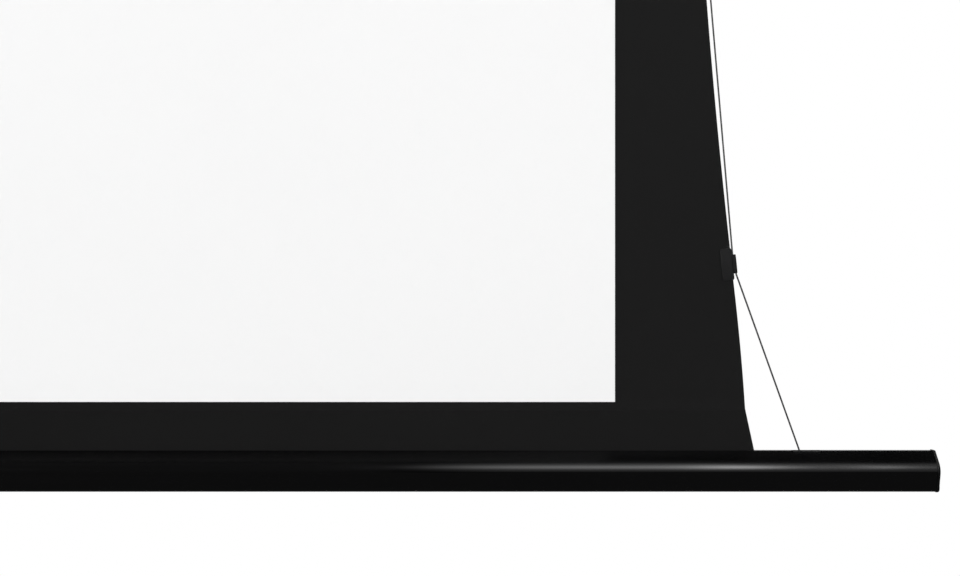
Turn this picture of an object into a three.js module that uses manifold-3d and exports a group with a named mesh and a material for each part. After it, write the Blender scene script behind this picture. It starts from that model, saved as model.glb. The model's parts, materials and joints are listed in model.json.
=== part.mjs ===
// A motorized projector screen with side tension cords, let down.
// Millimetres. +Z is up, +X is the viewer's right, and the white side faces -Y.
// The origin is the middle of the case's flat back, which lies against the wall.
import * as THREE from "three";
import { mergeVertices } from "three/addons/utils/BufferGeometryUtils.js";
import Module from "manifold-3d";

// General clearances and mesh fineness
const fitGap = 0.3;
const cutOverrun = 2;
const weldDistance = 0.001;
const caseArcSteps = 8;
const arcSteps = 4;
const tinyArcSteps = 2;
const roundSides = 36;
const smallSides = 16;
const cordSides = 8;

// Picture and fabric, with heights measured up from the top of the bottom bar
const pictureWidth = 2214;
const pictureHeight = 1245;
const bottomBorder = 42;
const topDrop = 413;
const sideBorder = 61.6;
const edgeBow = 39.3;
const edgeRunToHem = 11.5;
const edgeBelly = 0.8;
const hemHeight = 36;
const hemFlare = 7.8;
const sheetThickness = 0.4;
const pictureThickness = 0.2;
const edgeSteps = 24;
const bellySteps = 6;

// Tabs on the fabric's edges
const tabsPerSide = 5;
const endTabHeight = 161;
const tabHeight = 28;
const tabWidth = 12;
const tabWall = 0.5;
const tabGrip = 0.1;
const tabSeatPast = 0.2;
const tabLip = 1;
const sleeveHeight = 16.4;
const sleeveReach = 4.2;
const sleeveDepth = 3.2;
const sleeveRound = 0.7;
const sleeveBoreFrom = 0.6;
const sleeveBoreTo = 3.7;
const sleeveBoreDepth = 1.8;

// Tension cords
const cordDiameter = 1.5;
const cordStandOff = 1.55;
const cordMidStandOff = 2.1;
const cordExitStandOff = 2.9;
const cordOutset = 39.1;
const cordDipInGuide = 3.5;
const cordSegmentsPerSpan = 3;

// Case
const caseHeight = 145;
const frontRoom = 59;
const caseWall = 2;
const caseBackRadius = 3;
const caseTopRadius = 34;
const caseBottomRadius = 20;
const topSeam = 70;
const lapLength = 12;
const lapHeel = 8;
const railSetback = 28;
const railMouth = 8;
const railWidth = 16;
const railHeight = 4.4;
const slotBackRoom = 12.3;
const slotFrontRoom = 20.7;
const slotFlange = 8;
const panelWidth = 38;
const guideStripWall = 1.2;
const guideStripDepth = 5;
const capThickness = 4;
const capOverhang = 1;
const capPostDiameter = 9;
const capPostLength = 12;

// Hanging brackets
const bracketInset = 507;
const bracketWidth = 60;
const bracketPlate = 3;
const bracketRise = 45;
const bracketReach = 40;
const bracketLeg = 52;
const hookNeck = 5;
const screwSlotWidth = 6.5;
const screwSlotLength = 16;
const screwSlotPitch = 34;
const clampScrewDiameter = 6;
const clampKnobDiameter = 15;
const clampKnobHeight = 7;
const clampKnobChamfer = 1.4;
const clampScrewSetback = 44;

// Roller
const rollerDiameter = 70;
const rollerWall = 1.6;
const rollerSetback = 66;
const rollerRise = 6;
const keyRodDiameter = 4.8;
const keySlotWidth = 2.4;
const keyWall = 1.6;
const woundBuildUp = 0.9;
const spoolWidth = 9;
const spoolFlangeHeight = 4.2;
const spoolFlangeWidth = 1.5;
const spoolFloor = 0.6;
const spoolMargin = 14.2;

// Drive end
const plateThickness = 3;
const plateRim = 7.5;
const plateBelowAxis = 42;
const plateAboveAxis = 50;
const plateFoot = 30;
const motorDiameter = 44;
const motorLength = 500;
const headDiameter = 60;
const headLength = 39.2;
const headPinSize = 11;
const headPinLength = 8;
const crownFlange = 2.5;
const crownRise = 2;
const crownDepth = 14;
const crownStandOff = 1.5;
const wheelThickness = 20;
const shaftDiameter = 14;
const shaftLength = 12;
const limitScrewDiameter = 8;
const limitScrewLength = 12;
const limitScrewPitch = 18;
const limitScrewProud = 1;
const limitSocketSize = 4;
const limitSocketDepth = 5;
const leadDiameter = 7;
const leadHoleMargin = 2;
const leadForward = 20;
const leadDrop = 10;

// Idler end
const plugDepth = 30;
const bearingDiameter = 22;
const bearingWidth = 7;
const idlerPinDiameter = 8;
const idlerPinHead = 14;
const idlerPinHeadLength = 3;

// Controls at the drive end
const boxLength = 52;
const boxStandOff = 19.2;
const boxSetback = 60;
const boxHeight = 82;
const boxBottomGap = 8;
const boxFrontGap = 5;
const boxCorner = 4;
const windowWidth = 26;
const windowHeight = 12;
const windowProud = 0.6;
const windowDrop = 22;
const lampDiameter = 4;
const lampAcross = 22;
const buttonDiameter = 10;
const buttonFlange = 14;
const buttonFlangeHeight = 1.5;
const buttonProud = 3;
const buttonTravel = 1.5;
const buttonInset = 5;
const accessWidth = 40;
const accessDepth = 16;
const accessRound = 4;
const accessMargin = 38.6;

// Sockets in the left end cap
const socketRise = 42;
const inletInset = 33;
const inletWidth = 28;
const inletHeight = 21;
const inletFlangeWidth = 46;
const inletFlangeHeight = 25;
const inletFlange = 2;
const inletBody = 22;
const inletMouthWidth = 24;
const inletMouthHeight = 16.5;
const inletDepth = 17;
const inletBlade = 2;
const inletBladeHeight = 4;
const inletBladeLength = 11;
const inletBladePitch = 7;
const inletMiddleDrop = 3;
const socketPitch = 40;
const triggerWidth = 16;
const triggerHeight = 14;
const triggerBody = 18;
const triggerRim = 1;
const triggerMouthWidth = 11.7;
const triggerMouthHeight = 8;
const triggerDepth = 13;

// Bottom bar
const barShortfall = 23.4;
const barHeight = 34.2;
const barFront = 16.2;
const barBack = 6;
const barWall = 1.8;
const barEdgeRadius = 1;
const barNoseRadius = 3;
const barTopLand = 1.6;
const hemRodDiameter = 5.4;
const hemRodShortfall = 2;
const hemMouth = 1.6;
const hemGrooveDepth = 5.8;
const barHollowTop = 11;
const barCapThickness = 2.6;
const barCapProud = 0.5;
const barPlugDepth = 10;

// The bar's front, from its top land down to its bottom, as shares of its depth and height
const barFrontShares = [
  [0.52, 0.17],
  [0.81, 0.29],
  [0.96, 0.39],
  [1, 0.48],
  [0.98, 0.57],
  [0.9, 0.71],
  [0.83, 0.84],
];

// Cord tension in the bar's ends
const guideLength = 24;
const guideWidth = 7.6;
const guideHeight = 24;
const guideSetback = 6;
const guideMouthWidth = 5;
const guideMouthDepth = 2.2;
const tailDrop = 19;
const tailBore = 2.4;
const tailInGuide = 14;
const tensionScrewDiameter = 5;
const tensionHeadDiameter = 9;
const tensionHeadHeight = 2.6;
const tensionScrewForward = 4.6;
const tensionScrewDrop = 23;
const nutLength = 12;
const nutStandOff = 16;
const nutTop = 16.5;
const nutBottom = 29.5;
const nutBack = 3.6;
const nutFront = 9.4;

// Places that follow from the sizes above
const caseDepth = rollerSetback + frontRoom;
const caseTop = caseHeight / 2;
const caseBottom = -caseHeight / 2;
const dropHeight = topDrop + pictureHeight + bottomBorder;
const barTop = caseBottom - dropHeight;
const rollerRadius = rollerDiameter / 2;
const rollerBore = rollerRadius - rollerWall;
const woundRadius = rollerRadius + fitGap + woundBuildUp;
const sheetFrontY = -rollerSetback + woundRadius + fitGap;
const sheetMiddleY = sheetFrontY + sheetThickness / 2;
const slotBack = -sheetMiddleY - slotBackRoom;
const slotFront = -sheetMiddleY + slotFrontRoom;
const bottomSeam = slotFront + panelWidth;
const rollerHeightOverBar = rollerRise - barTop;
const narrowHalf = pictureWidth / 2 + sideBorder;
const tabHalf = narrowHalf + edgeBow;
const bellySpan = endTabHeight - tabHeight / 2 - hemHeight;
const hemHalf = tabHalf + edgeRunToHem;
const widestHalf = hemHalf + hemFlare;
const topTabHeight = dropHeight - endTabHeight;
const cordLanding = widestHalf + cordOutset;
const rollerHalf = cordLanding + spoolWidth / 2 + spoolMargin;
const crownEnd = rollerHalf + crownFlange;
const plateFace = crownEnd + crownStandOff + headLength + fitGap;
const platePlace = plateFace + plateThickness / 2;
const extrusionHalf = plateFace + plateThickness + boxStandOff + boxLength + fitGap;
const caseHalf = extrusionHalf + capThickness;
const bracketPlace = caseHalf - bracketInset;
const barHalf = caseHalf - barShortfall - barCapThickness;
const hemGrooveRadius = hemRodDiameter / 2 + fitGap;
const lowestHem = hemGrooveDepth - hemRodDiameter / 2 - fitGap;

// Finishes
const satinBlack = finish(0x101113, 0.35, 0.6);
const glossBlack = finish(0x0c0d0f, 0.22, 0.3);
const blackPlastic = finish(0x15161a, 0.5, 0);
const blackFabric = finish(0x1c1c1e, 0.85, 0);
const whiteVinyl = finish(0xf4f4f2, 0.9, 0);
const tabPlastic = finish(0x222226, 0.55, 0);
const cordBlack = finish(0x18181a, 0.7, 0);
const bareAluminium = finish(0xb9bcc0, 0.4, 0.9);
const zincSteel = finish(0xa4a8ab, 0.45, 0.9);
const greyPlastic = finish(0x6d7176, 0.6, 0);
const infraredAcrylic = finish(0x2a0709, 0.1, 0);
const greenLens = finish(0x1d7a3a, 0.2, 0);
const yellowPlastic = finish(0xd8b21c, 0.5, 0);
const whitePlastic = finish(0xe8e8e4, 0.5, 0);

function finish(color, roughness, metalness) {
  return new THREE.MeshStandardMaterial({ color, roughness, metalness });
}

// Joining and cutting
const wasm = await Module();
wasm.setup();

function solidOf(geometry) {
  const bare = geometry.index ? geometry.toNonIndexed() : geometry.clone();
  bare.deleteAttribute("normal");
  bare.deleteAttribute("uv");
  const merged = mergeVertices(bare, weldDistance);
  const vertProperties = merged.attributes.position.array;
  const triVerts = new Uint32Array(merged.index.array);
  return new wasm.Manifold(new wasm.Mesh({ numProp: 3, vertProperties, triVerts }));
}

function geometryOf(solid) {
  const mesh = solid.getMesh();
  const geometry = new THREE.BufferGeometry();
  geometry.setAttribute("position", new THREE.BufferAttribute(mesh.vertProperties, 3));
  geometry.setIndex(new THREE.BufferAttribute(mesh.triVerts, 1));
  geometry.computeVertexNormals();
  return geometry;
}

function join(first, ...others) {
  return geometryOf(others.reduce((sum, other) => sum.add(solidOf(other)), solidOf(first)));
}

function cut(base, ...tools) {
  return geometryOf(tools.reduce((rest, tool) => rest.subtract(solidOf(tool)), solidOf(base)));
}

// Basic forms
function block(low, high) {
  const size = high.map((end, axis) => end - low[axis]);
  const middle = high.map((end, axis) => (end + low[axis]) / 2);
  return new THREE.BoxGeometry(...size).translate(...middle);
}

// An outline in Y and Z, drawn out along X between two places.
function alongX(shape, from, to) {
  const settings = { depth: to - from, bevelEnabled: false };
  const turn = new THREE.Matrix4().makeBasis(
    new THREE.Vector3(0, 1, 0),
    new THREE.Vector3(0, 0, 1),
    new THREE.Vector3(1, 0, 0),
  );
  return new THREE.ExtrudeGeometry(shape, settings).applyMatrix4(turn).translate(from, 0, 0);
}

// An outline in X and Z, given a thickness along Y from its front at the given place.
function plateY(shape, front, thickness) {
  const geometry = new THREE.ExtrudeGeometry(shape, { depth: thickness, bevelEnabled: false });
  return geometry.rotateX(Math.PI / 2).translate(0, front + thickness, 0);
}

function rodX(radius, from, to, sides = smallSides) {
  const rod = new THREE.CylinderGeometry(radius, radius, to - from, sides);
  return rod.rotateZ(-Math.PI / 2).translate((from + to) / 2, 0, 0);
}

function rodZ(radius, from, to, sides = smallSides) {
  const rod = new THREE.CylinderGeometry(radius, radius, to - from, sides);
  return rod.rotateX(Math.PI / 2).translate(0, 0, (from + to) / 2);
}

// A ring or a solid turned about X, from pairs of place along X and radius.
function turnedX(profile, sides = roundSides) {
  const points = profile.map(([place, radius]) => new THREE.Vector2(radius, place));
  return new THREE.LatheGeometry(points, sides).rotateZ(-Math.PI / 2);
}

function ringX(outer, inner, from, to, sides = roundSides) {
  const profile = [[from, inner], [from, outer], [to, outer], [to, inner], [from, inner]];
  return turnedX(profile, sides);
}

function roundedRect(width, height, radius, steps = tinyArcSteps) {
  const shape = new THREE.Shape();
  const x = width / 2 - radius;
  const y = height / 2 - radius;
  shape.absarc(x, y, radius, 0, Math.PI / 2);
  shape.absarc(-x, y, radius, Math.PI / 2, Math.PI);
  shape.absarc(-x, -y, radius, Math.PI, 1.5 * Math.PI);
  shape.absarc(x, -y, radius, 1.5 * Math.PI, 2 * Math.PI);
  return new THREE.Shape(pointsOf(shape, steps));
}

// A closed outline's points, each once, with so many steps to each arc.
function pointsOf(shape, steps = arcSteps) {
  const points = shape.getPoints(steps / 2);
  return points.filter((point, i) => point.distanceTo(points.at(i - 1)) > weldDistance);
}

// An anticlockwise outline moved out by a distance, measured square to its sides.
function movedOut(points, distance) {
  return points.map((point, i) => {
    const arriving = point.clone().sub(points.at(i - 1)).normalize();
    const leaving = points[(i + 1) % points.length].clone().sub(point).normalize();
    const outward = arriving.clone().add(leaving).normalize();
    const reach = distance / Math.sqrt((1 + arriving.dot(leaving)) / 2);
    return new THREE.Vector2(point.x + outward.y * reach, point.y - outward.x * reach);
  });
}

// The assembly. The left half of what comes in pairs is mirrored.
const screen = new THREE.Group();
const rightSide = new THREE.Group();
const leftSide = new THREE.Group();
leftSide.scale.x = -1;
screen.add(rightSide, leftSide);

function place(name, geometry, material, [x, y, z] = [0, 0, 0], parent = screen) {
  const mesh = new THREE.Mesh(geometry, material);
  mesh.name = name;
  mesh.position.set(x, y, z);
  parent.add(mesh);
  return mesh;
}

function placePair(name, geometry, material, where) {
  place("left_" + name, geometry, material, where, leftSide);
  return place("right_" + name, geometry, material, where, rightSide);
}

// Case
function caseOutline() {
  const shape = new THREE.Shape();
  const quarter = Math.PI / 2;
  const back = -caseBackRadius;
  const front = -caseDepth;
  shape.absarc(back, caseTop - caseBackRadius, caseBackRadius, 0, quarter);
  shape.absarc(front + caseTopRadius, caseTop - caseTopRadius, caseTopRadius, quarter, 2 * quarter);
  shape.absarc(
    front + caseBottomRadius,
    caseBottom + caseBottomRadius,
    caseBottomRadius,
    2 * quarter,
    3 * quarter,
  );
  shape.absarc(back, caseBottom + caseBackRadius, caseBackRadius, 3 * quarter, 4 * quarter);
  return pointsOf(shape, caseArcSteps);
}

function caseTube() {
  const outline = caseOutline();
  const shape = new THREE.Shape(outline);
  shape.holes.push(new THREE.Path(movedOut(outline, -caseWall)));
  return alongX(shape, -extrusionHalf, extrusionHalf);
}

// A block as long as the extrusions, between two places in Y and in Z.
function caseStrip(yFrom, yTo, zFrom, zTo, overrun = 0) {
  const half = extrusionHalf + overrun;
  return block([-half, yFrom, zFrom], [half, yTo, zTo]);
}

function rearChannel() {
  const over = cutOverrun;
  const lid = caseTop - caseWall;
  const railFloor = lid - railHeight;
  const railHalf = railWidth / 2;
  const lapTop = lid - fitGap;
  const kept = cut(
    caseTube(),
    caseStrip(-caseDepth - over, -topSeam, caseBottom - over, caseTop + over, over),
    caseStrip(-topSeam - over, -slotBack, caseBottom - over, 0, over),
  );
  const railY = -railSetback;
  const built = join(
    kept,
    caseStrip(railY - railHalf - caseWall, railY + railHalf + caseWall, railFloor - caseWall, lid),
    caseStrip(-topSeam - lapLength, -topSeam + lapHeel, lapTop - caseWall, lapTop),
    caseStrip(-topSeam, -topSeam + lapHeel, lapTop - caseWall, lid),
    caseStrip(-slotBack, -slotBack + caseWall, caseBottom, caseBottom + caseWall + slotFlange),
  );
  return cut(
    built,
    caseStrip(railY - railHalf, railY + railHalf, railFloor, lid, over),
    caseStrip(railY - railMouth / 2, railY + railMouth / 2, railFloor, caseTop + over, over),
  );
}

function frontCover() {
  const over = cutOverrun;
  const lapBottom = caseBottom + caseWall + fitGap;
  const windowX = -boxMiddleX;
  const windowHole = windowOutline(fitGap);
  const holeFront = -caseDepth - over;
  const holeThrough = caseWall + 2 * over;
  const kept = cut(
    caseTube(),
    caseStrip(-topSeam - fitGap, over, 0, caseTop + over, over),
    caseStrip(-bottomSeam, over, caseBottom - over, 0, over),
    plateY(windowHole, holeFront, holeThrough).translate(windowX, 0, -windowDrop),
    lampHole(lampDiameter / 2 + fitGap, holeFront, holeFront + holeThrough),
  );
  return join(
    kept,
    caseStrip(-bottomSeam - lapHeel, -bottomSeam + lapLength, lapBottom, lapBottom + caseWall),
    caseStrip(-bottomSeam - lapHeel, -bottomSeam, caseBottom + caseWall, lapBottom),
  );
}

function windowOutline(gap) {
  const round = windowHeight / 2 - fitGap + gap;
  return roundedRect(windowWidth + 2 * gap, windowHeight + 2 * gap, round, arcSteps);
}

function lampHole(radius, from, to) {
  const rod = new THREE.CylinderGeometry(radius, radius, to - from, smallSides);
  return rod.translate(-boxMiddleX + lampAcross, (from + to) / 2, -windowDrop);
}

// A length of the bottom panel, with its upturned lip along the fabric's slot.
function panelLength(from, to) {
  const top = caseBottom + caseWall;
  return join(
    block([from, -bottomSeam + fitGap, caseBottom], [to, -slotFront, top]),
    block([from, -slotFront - caseWall, caseBottom], [to, -slotFront, top + slotFlange]),
  );
}

// The short length under the drive, with the way to the limit screws and the button's hole
function controlPanel() {
  const from = caseBottom - cutOverrun;
  const through = caseWall + 2 * cutOverrun;
  const access = roundedRect(accessWidth, accessDepth, accessRound, arcSteps);
  const accessHole = new THREE.ExtrudeGeometry(access, { depth: through, bevelEnabled: false });
  const buttonHole = rodZ(buttonDiameter / 2 + fitGap, from, from + through);
  return cut(
    panelLength(-extrusionHalf, panelJoint),
    accessHole.translate(limitScrewsX, -rollerSetback, from),
    buttonHole.translate(-boxMiddleX, -buttonSetback, 0),
  );
}

function slotGuideStrip() {
  const flangeTop = caseBottom + caseWall + slotFlange;
  const inner = caseWall / 2 + fitGap;
  const outer = inner + guideStripWall;
  const middle = -slotBack + caseWall / 2;
  const foot = flangeTop - guideStripDepth;
  return cut(
    caseStrip(middle - outer, middle + outer, foot, flangeTop + fitGap + guideStripWall),
    caseStrip(middle - inner, middle + inner, foot - cutOverrun, flangeTop + fitGap, cutOverrun),
  );
}

// An end cap for the right, its posts pointing into the case. The holes are in Y and Z.
function endCap(holes) {
  const shape = new THREE.Shape(movedOut(caseOutline(), capOverhang));
  shape.holes.push(...holes);
  const postIn = caseWall + fitGap + capPostDiameter / 2;
  const posts = [
    [-postIn, caseTop - railHeight - caseWall - postIn],
    [-postIn, caseBottom + postIn],
    [-caseDepth + caseTopRadius, caseTop - postIn],
  ].map(([y, z]) => rodX(capPostDiameter / 2, -capPostLength, cutOverrun).translate(0, y, z));
  return join(alongX(shape, 0, capThickness), ...posts);
}

function hole(shape, y, z, steps = arcSteps) {
  const points = pointsOf(shape, steps);
  return new THREE.Path(points.map((point) => new THREE.Vector2(point.x + y, point.y + z)));
}

// Places at the drive end
const headEnd = fitGap - plateFace;
const headInner = headEnd + headLength;
const limitScrewsX = (headEnd + headInner) / 2;
const panelJoint = limitScrewsX + accessWidth / 2 + accessMargin;
const boxMiddleX = extrusionHalf - fitGap - boxLength / 2;
const boxFrontY = -caseDepth + caseWall + boxFrontGap;
const boxDepth = -boxFrontY - boxSetback;
const boxMiddleY = boxFrontY + boxDepth / 2;
const buttonSetback = boxSetback + buttonInset;
const inletSetback = caseDepth - inletInset;
const triggerSetback = inletSetback - socketPitch;
const boxBottom = caseBottom + caseWall + boxBottomGap;
const boxTop = boxBottom + boxHeight;
const leadY = -rollerSetback - leadForward;
const leadZ = rollerRise - leadDrop;

place("rear_channel", rearChannel(), satinBlack);
place("front_cover", frontCover(), satinBlack);
place("bottom_panel", panelLength(panelJoint + fitGap, extrusionHalf), satinBlack);
place("control_panel", controlPanel(), satinBlack);
place("slot_guide_strip", slotGuideStrip(), blackPlastic);

const inletHole = roundedRect(inletWidth + 2 * fitGap, inletHeight + 2 * fitGap, fitGap);
const triggerHole = roundedRect(triggerWidth + 2 * fitGap, triggerHeight + 2 * fitGap, fitGap);
place("right_end_cap", endCap([]), blackPlastic, [extrusionHalf, 0, 0], rightSide);
const socketHoles = [
  hole(inletHole, -inletSetback, socketRise),
  hole(triggerHole, -triggerSetback, socketRise),
];
place("left_end_cap", endCap(socketHoles), blackPlastic, [extrusionHalf, 0, 0], leftSide);

// Hanging brackets, each a C that hooks into the rail on the case's top
function hangingBracket() {
  const over = cutOverrun;
  const half = bracketWidth / 2;
  const legBottom = caseTop + fitGap;
  const top = caseTop + bracketRise;
  const footHalf = railWidth / 2 - fitGap;
  const footTop = caseTop - caseWall - fitGap;
  const footBottom = caseTop - caseWall - railHeight + fitGap;
  const slab = (yFrom, yTo, zFrom, zTo) => block([-half, yFrom, zFrom], [half, yTo, zTo]);
  const body = join(
    slab(-bracketPlate, 0, legBottom, top),
    slab(-bracketLeg, 0, legBottom, legBottom + bracketPlate),
    slab(-bracketReach, 0, top - bracketPlate, top),
    slab(-railSetback - hookNeck / 2, -railSetback + hookNeck / 2, footBottom, legBottom),
    slab(-railSetback - footHalf, -railSetback + footHalf, footBottom, footTop),
  );
  const slot = roundedRect(screwSlotWidth, screwSlotLength, screwSlotWidth / 2, arcSteps);
  const through = bracketPlate + 2 * over;
  const webMiddle = (legBottom + bracketPlate + top - bracketPlate) / 2;
  const topMiddle = [-(bracketReach + bracketPlate) / 2, top - bracketPlate / 2];
  const holes = [-screwSlotPitch / 2, screwSlotPitch / 2].flatMap((x) => [
    plateY(slot, -bracketPlate - over, through).translate(x, 0, webMiddle),
    plateY(slot, -through / 2, through).rotateX(Math.PI / 2).translate(x, ...topMiddle),
  ]);
  const screwHole = rodZ(clampScrewDiameter / 2 + fitGap, legBottom - over, legBottom + through);
  return cut(body, ...holes, screwHole.translate(0, -clampScrewSetback, 0));
}

function clampScrew() {
  const seat = caseTop + fitGap;
  const knobFrom = seat + bracketPlate + 2 * fitGap;
  const r = clampKnobDiameter / 2;
  const profile = [
    [seat, 0],
    [seat, clampScrewDiameter / 2],
    [knobFrom, clampScrewDiameter / 2],
    [knobFrom, r],
    [knobFrom + clampKnobHeight - clampKnobChamfer, r],
    [knobFrom + clampKnobHeight, r - clampKnobChamfer],
    [knobFrom + clampKnobHeight, 0],
  ].map(([z, radius]) => new THREE.Vector2(radius, z));
  return new THREE.LatheGeometry(profile, smallSides).rotateX(Math.PI / 2);
}

placePair("bracket", hangingBracket(), zincSteel, [bracketPlace, 0, 0]);
placePair("clamp_screw", clampScrew(), zincSteel, [bracketPlace, -clampScrewSetback, 0]);

// Roller, with everything that turns with it on its axis
const roller = new THREE.Group();
roller.position.set(0, -rollerSetback, rollerRise);
screen.add(roller);
const keyRadius = rollerRadius - keyWall - keyRodDiameter / 2 - fitGap;
const keyBossRadius = keyRodDiameter / 2 + fitGap + keyWall;

function rollerTube() {
  const over = cutOverrun;
  const boss = rodX(keyBossRadius, -rollerHalf, rollerHalf).translate(0, 0, keyRadius);
  const tube = ringX(rollerRadius, rollerBore, -rollerHalf, rollerHalf);
  const groove = rodX(keyRodDiameter / 2 + fitGap, -rollerHalf - over, rollerHalf + over);
  const slotHalf = keySlotWidth / 2;
  const slot = block(
    [-rollerHalf - over, -slotHalf, keyRadius],
    [rollerHalf + over, slotHalf, rollerRadius + over],
  );
  return cut(join(tube, boss), groove.translate(0, 0, keyRadius), slot);
}

// The way that the tube's inner rib takes through what fits inside the tube.
function keyway(from, to) {
  const half = keyBossRadius + fitGap;
  return block([from, -half, keyRadius - half], [to, half, rollerRadius]);
}

function cordSpool() {
  const inner = rollerRadius + fitGap;
  const floor = inner + spoolFloor;
  const rim = floor + spoolFlangeHeight;
  const half = spoolWidth / 2;
  const lip = half - spoolFlangeWidth;
  return turnedX([
    [-half, inner],
    [-half, floor],
    [lip, floor],
    [lip, rim],
    [half, rim],
    [half, inner],
    [-half, inner],
  ]);
}

function flangedPlug(bore, depth, flange, rise) {
  const fitted = rollerBore - fitGap;
  const body = turnedX([
    [-depth, bore],
    [-depth, fitted],
    [0, fitted],
    [0, rollerRadius + rise],
    [flange, rollerRadius + rise],
    [flange, bore],
    [-depth, bore],
  ]);
  return cut(body, keyway(-depth - cutOverrun, 0));
}

function driveWheel() {
  const rim = rollerBore - fitGap;
  const shaft = shaftDiameter / 2;
  const body = turnedX([
    [-shaftLength, 0],
    [-shaftLength, shaft],
    [0, shaft],
    [0, rim],
    [wheelThickness, rim],
    [wheelThickness, 0],
  ]);
  return cut(body, keyway(-cutOverrun, wheelThickness + cutOverrun));
}

function idlerPlug() {
  const seat = bearingDiameter / 2 + fitGap;
  const plug = flangedPlug(idlerPinDiameter / 2 + 2 * fitGap, plugDepth, crownFlange, crownRise);
  const pocketFrom = crownFlange - bearingWidth - fitGap;
  return cut(plug, rodX(seat, pocketFrom, crownFlange + cutOverrun));
}

const keyRod = rodX(keyRodDiameter / 2, -rollerHalf, rollerHalf, smallSides);
place("roller_tube", rollerTube(), bareAluminium, [0, 0, 0], roller);
place("roller_key_rod", keyRod, greyPlastic, [0, 0, keyRadius], roller);
const wound = ringX(woundRadius, rollerRadius + fitGap, -widestHalf, widestHalf);
place("wound_fabric", wound, blackFabric, [0, 0, 0], roller);
place("right_cord_spool", cordSpool(), blackPlastic, [cordLanding, 0, 0], roller);
place("left_cord_spool", cordSpool(), blackPlastic, [-cordLanding, 0, 0], roller).rotation.z = Math.PI;
const crown = flangedPlug(motorDiameter / 2 + fitGap, crownDepth, crownFlange, crownRise);
place("limit_crown", crown, blackPlastic, [-rollerHalf, 0, 0], roller).rotation.z = Math.PI;
place("idler_plug", idlerPlug(), blackPlastic, [rollerHalf, 0, 0], roller);
const motorEnd = headInner + motorLength;
place("drive_wheel", driveWheel(), blackPlastic, [motorEnd + fitGap, 0, 0], roller);

// Motor, which the plate holds still inside the turning roller
const fixedAxis = new THREE.Group();
fixedAxis.position.copy(roller.position);
screen.add(fixedAxis);

function endPlate(axisHole, extraHoles) {
  const half = plateThickness / 2;
  const back = rollerSetback - caseWall - fitGap;
  const front = -(leadForward + leadDiameter / 2 + leadHoleMargin + plateRim);
  const shape = new THREE.Shape([
    new THREE.Vector2(front, -plateBelowAxis),
    new THREE.Vector2(back, -plateBelowAxis),
    new THREE.Vector2(back, plateAboveAxis),
    new THREE.Vector2(front, plateAboveAxis),
  ]);
  shape.holes.push(axisHole, ...extraHoles);
  const foot = block(
    [-plateFoot, back - plateThickness, -plateBelowAxis],
    [half, back, plateAboveAxis],
  );
  return join(alongX(shape, -half, half), foot);
}

function circleHole(radius, y, z) {
  const shape = new THREE.Shape();
  shape.absarc(0, 0, radius, 0, 2 * Math.PI);
  return hole(shape, y, z, smallSides);
}

function motorHead() {
  const body = join(
    rodX(headDiameter / 2, 0, headLength, roundSides),
    block(
      [-headPinLength, -headPinSize / 2, -headPinSize / 2],
      [cutOverrun, headPinSize / 2, headPinSize / 2],
    ),
  );
  const bottom = -headDiameter / 2;
  const boreTop = bottom - limitScrewProud + limitScrewLength + fitGap;
  const bore = rodZ(limitScrewDiameter / 2 + fitGap, bottom - cutOverrun, boreTop);
  const firstX = (headLength - limitScrewPitch) / 2;
  return cut(
    body,
    bore.clone().translate(firstX, 0, 0),
    bore.translate(firstX + limitScrewPitch, 0, 0),
  );
}

function motorTube() {
  const bore = shaftDiameter / 2 + fitGap;
  const pocket = motorLength - shaftLength - 2 * fitGap;
  return turnedX([
    [fitGap, 0],
    [fitGap, motorDiameter / 2],
    [motorLength, motorDiameter / 2],
    [motorLength, bore],
    [pocket, bore],
    [pocket, 0],
  ], roundSides);
}

function limitScrew() {
  const sides = 6;
  const socket = new THREE.CylinderGeometry(
    limitSocketSize / 2,
    limitSocketSize / 2,
    limitSocketDepth + cutOverrun,
    sides,
  );
  const body = rodZ(limitScrewDiameter / 2, 0, limitScrewLength);
  return cut(body, socket.rotateX(Math.PI / 2).translate(0, 0, (limitSocketDepth - cutOverrun) / 2));
}

const pinHoleShape = roundedRect(headPinSize + 2 * fitGap, headPinSize + 2 * fitGap, fitGap);
const leadHole = circleHole(leadDiameter / 2 + leadHoleMargin, -leadForward, -leadDrop);
const motorPlate = endPlate(hole(pinHoleShape, 0, 0), [leadHole]);
place("motor_plate", motorPlate, zincSteel, [platePlace, -rollerSetback, rollerRise], leftSide);
place("motor_head", motorHead(), blackPlastic, [headEnd, 0, 0], fixedAxis);
place("motor_tube", motorTube(), bareAluminium, [headInner, 0, 0], fixedAxis);
const screwBottom = -headDiameter / 2 - limitScrewProud;
const upperScrewPlace = [limitScrewsX - limitScrewPitch / 2, 0, screwBottom];
const lowerScrewPlace = [limitScrewsX + limitScrewPitch / 2, 0, screwBottom];
place("upper_limit_screw", limitScrew(), yellowPlastic, upperScrewPlace, fixedAxis);
place("lower_limit_screw", limitScrew(), whitePlastic, lowerScrewPlace, fixedAxis);

const leadFrom = -extrusionHalf + fitGap + boxLength + fitGap;
const lead = rodX(leadDiameter / 2, leadFrom, headEnd - fitGap, cordSides);
place("motor_lead", lead, cordBlack, [0, leadY, leadZ]);

// Idler end: a pin held by its plate, with the bearing between pin and plug
function idlerPin() {
  const r = idlerPinDiameter / 2;
  const innerEnd = rollerHalf - plugDepth;
  const faceX = plateFace - fitGap;
  const outerEnd = platePlace + plateThickness / 2 + headPinLength;
  return turnedX([
    [innerEnd, 0],
    [innerEnd, r],
    [faceX - idlerPinHeadLength, r],
    [faceX - idlerPinHeadLength, idlerPinHead / 2],
    [faceX, idlerPinHead / 2],
    [faceX, r],
    [outerEnd, r],
    [outerEnd, 0],
  ], smallSides);
}

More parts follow.
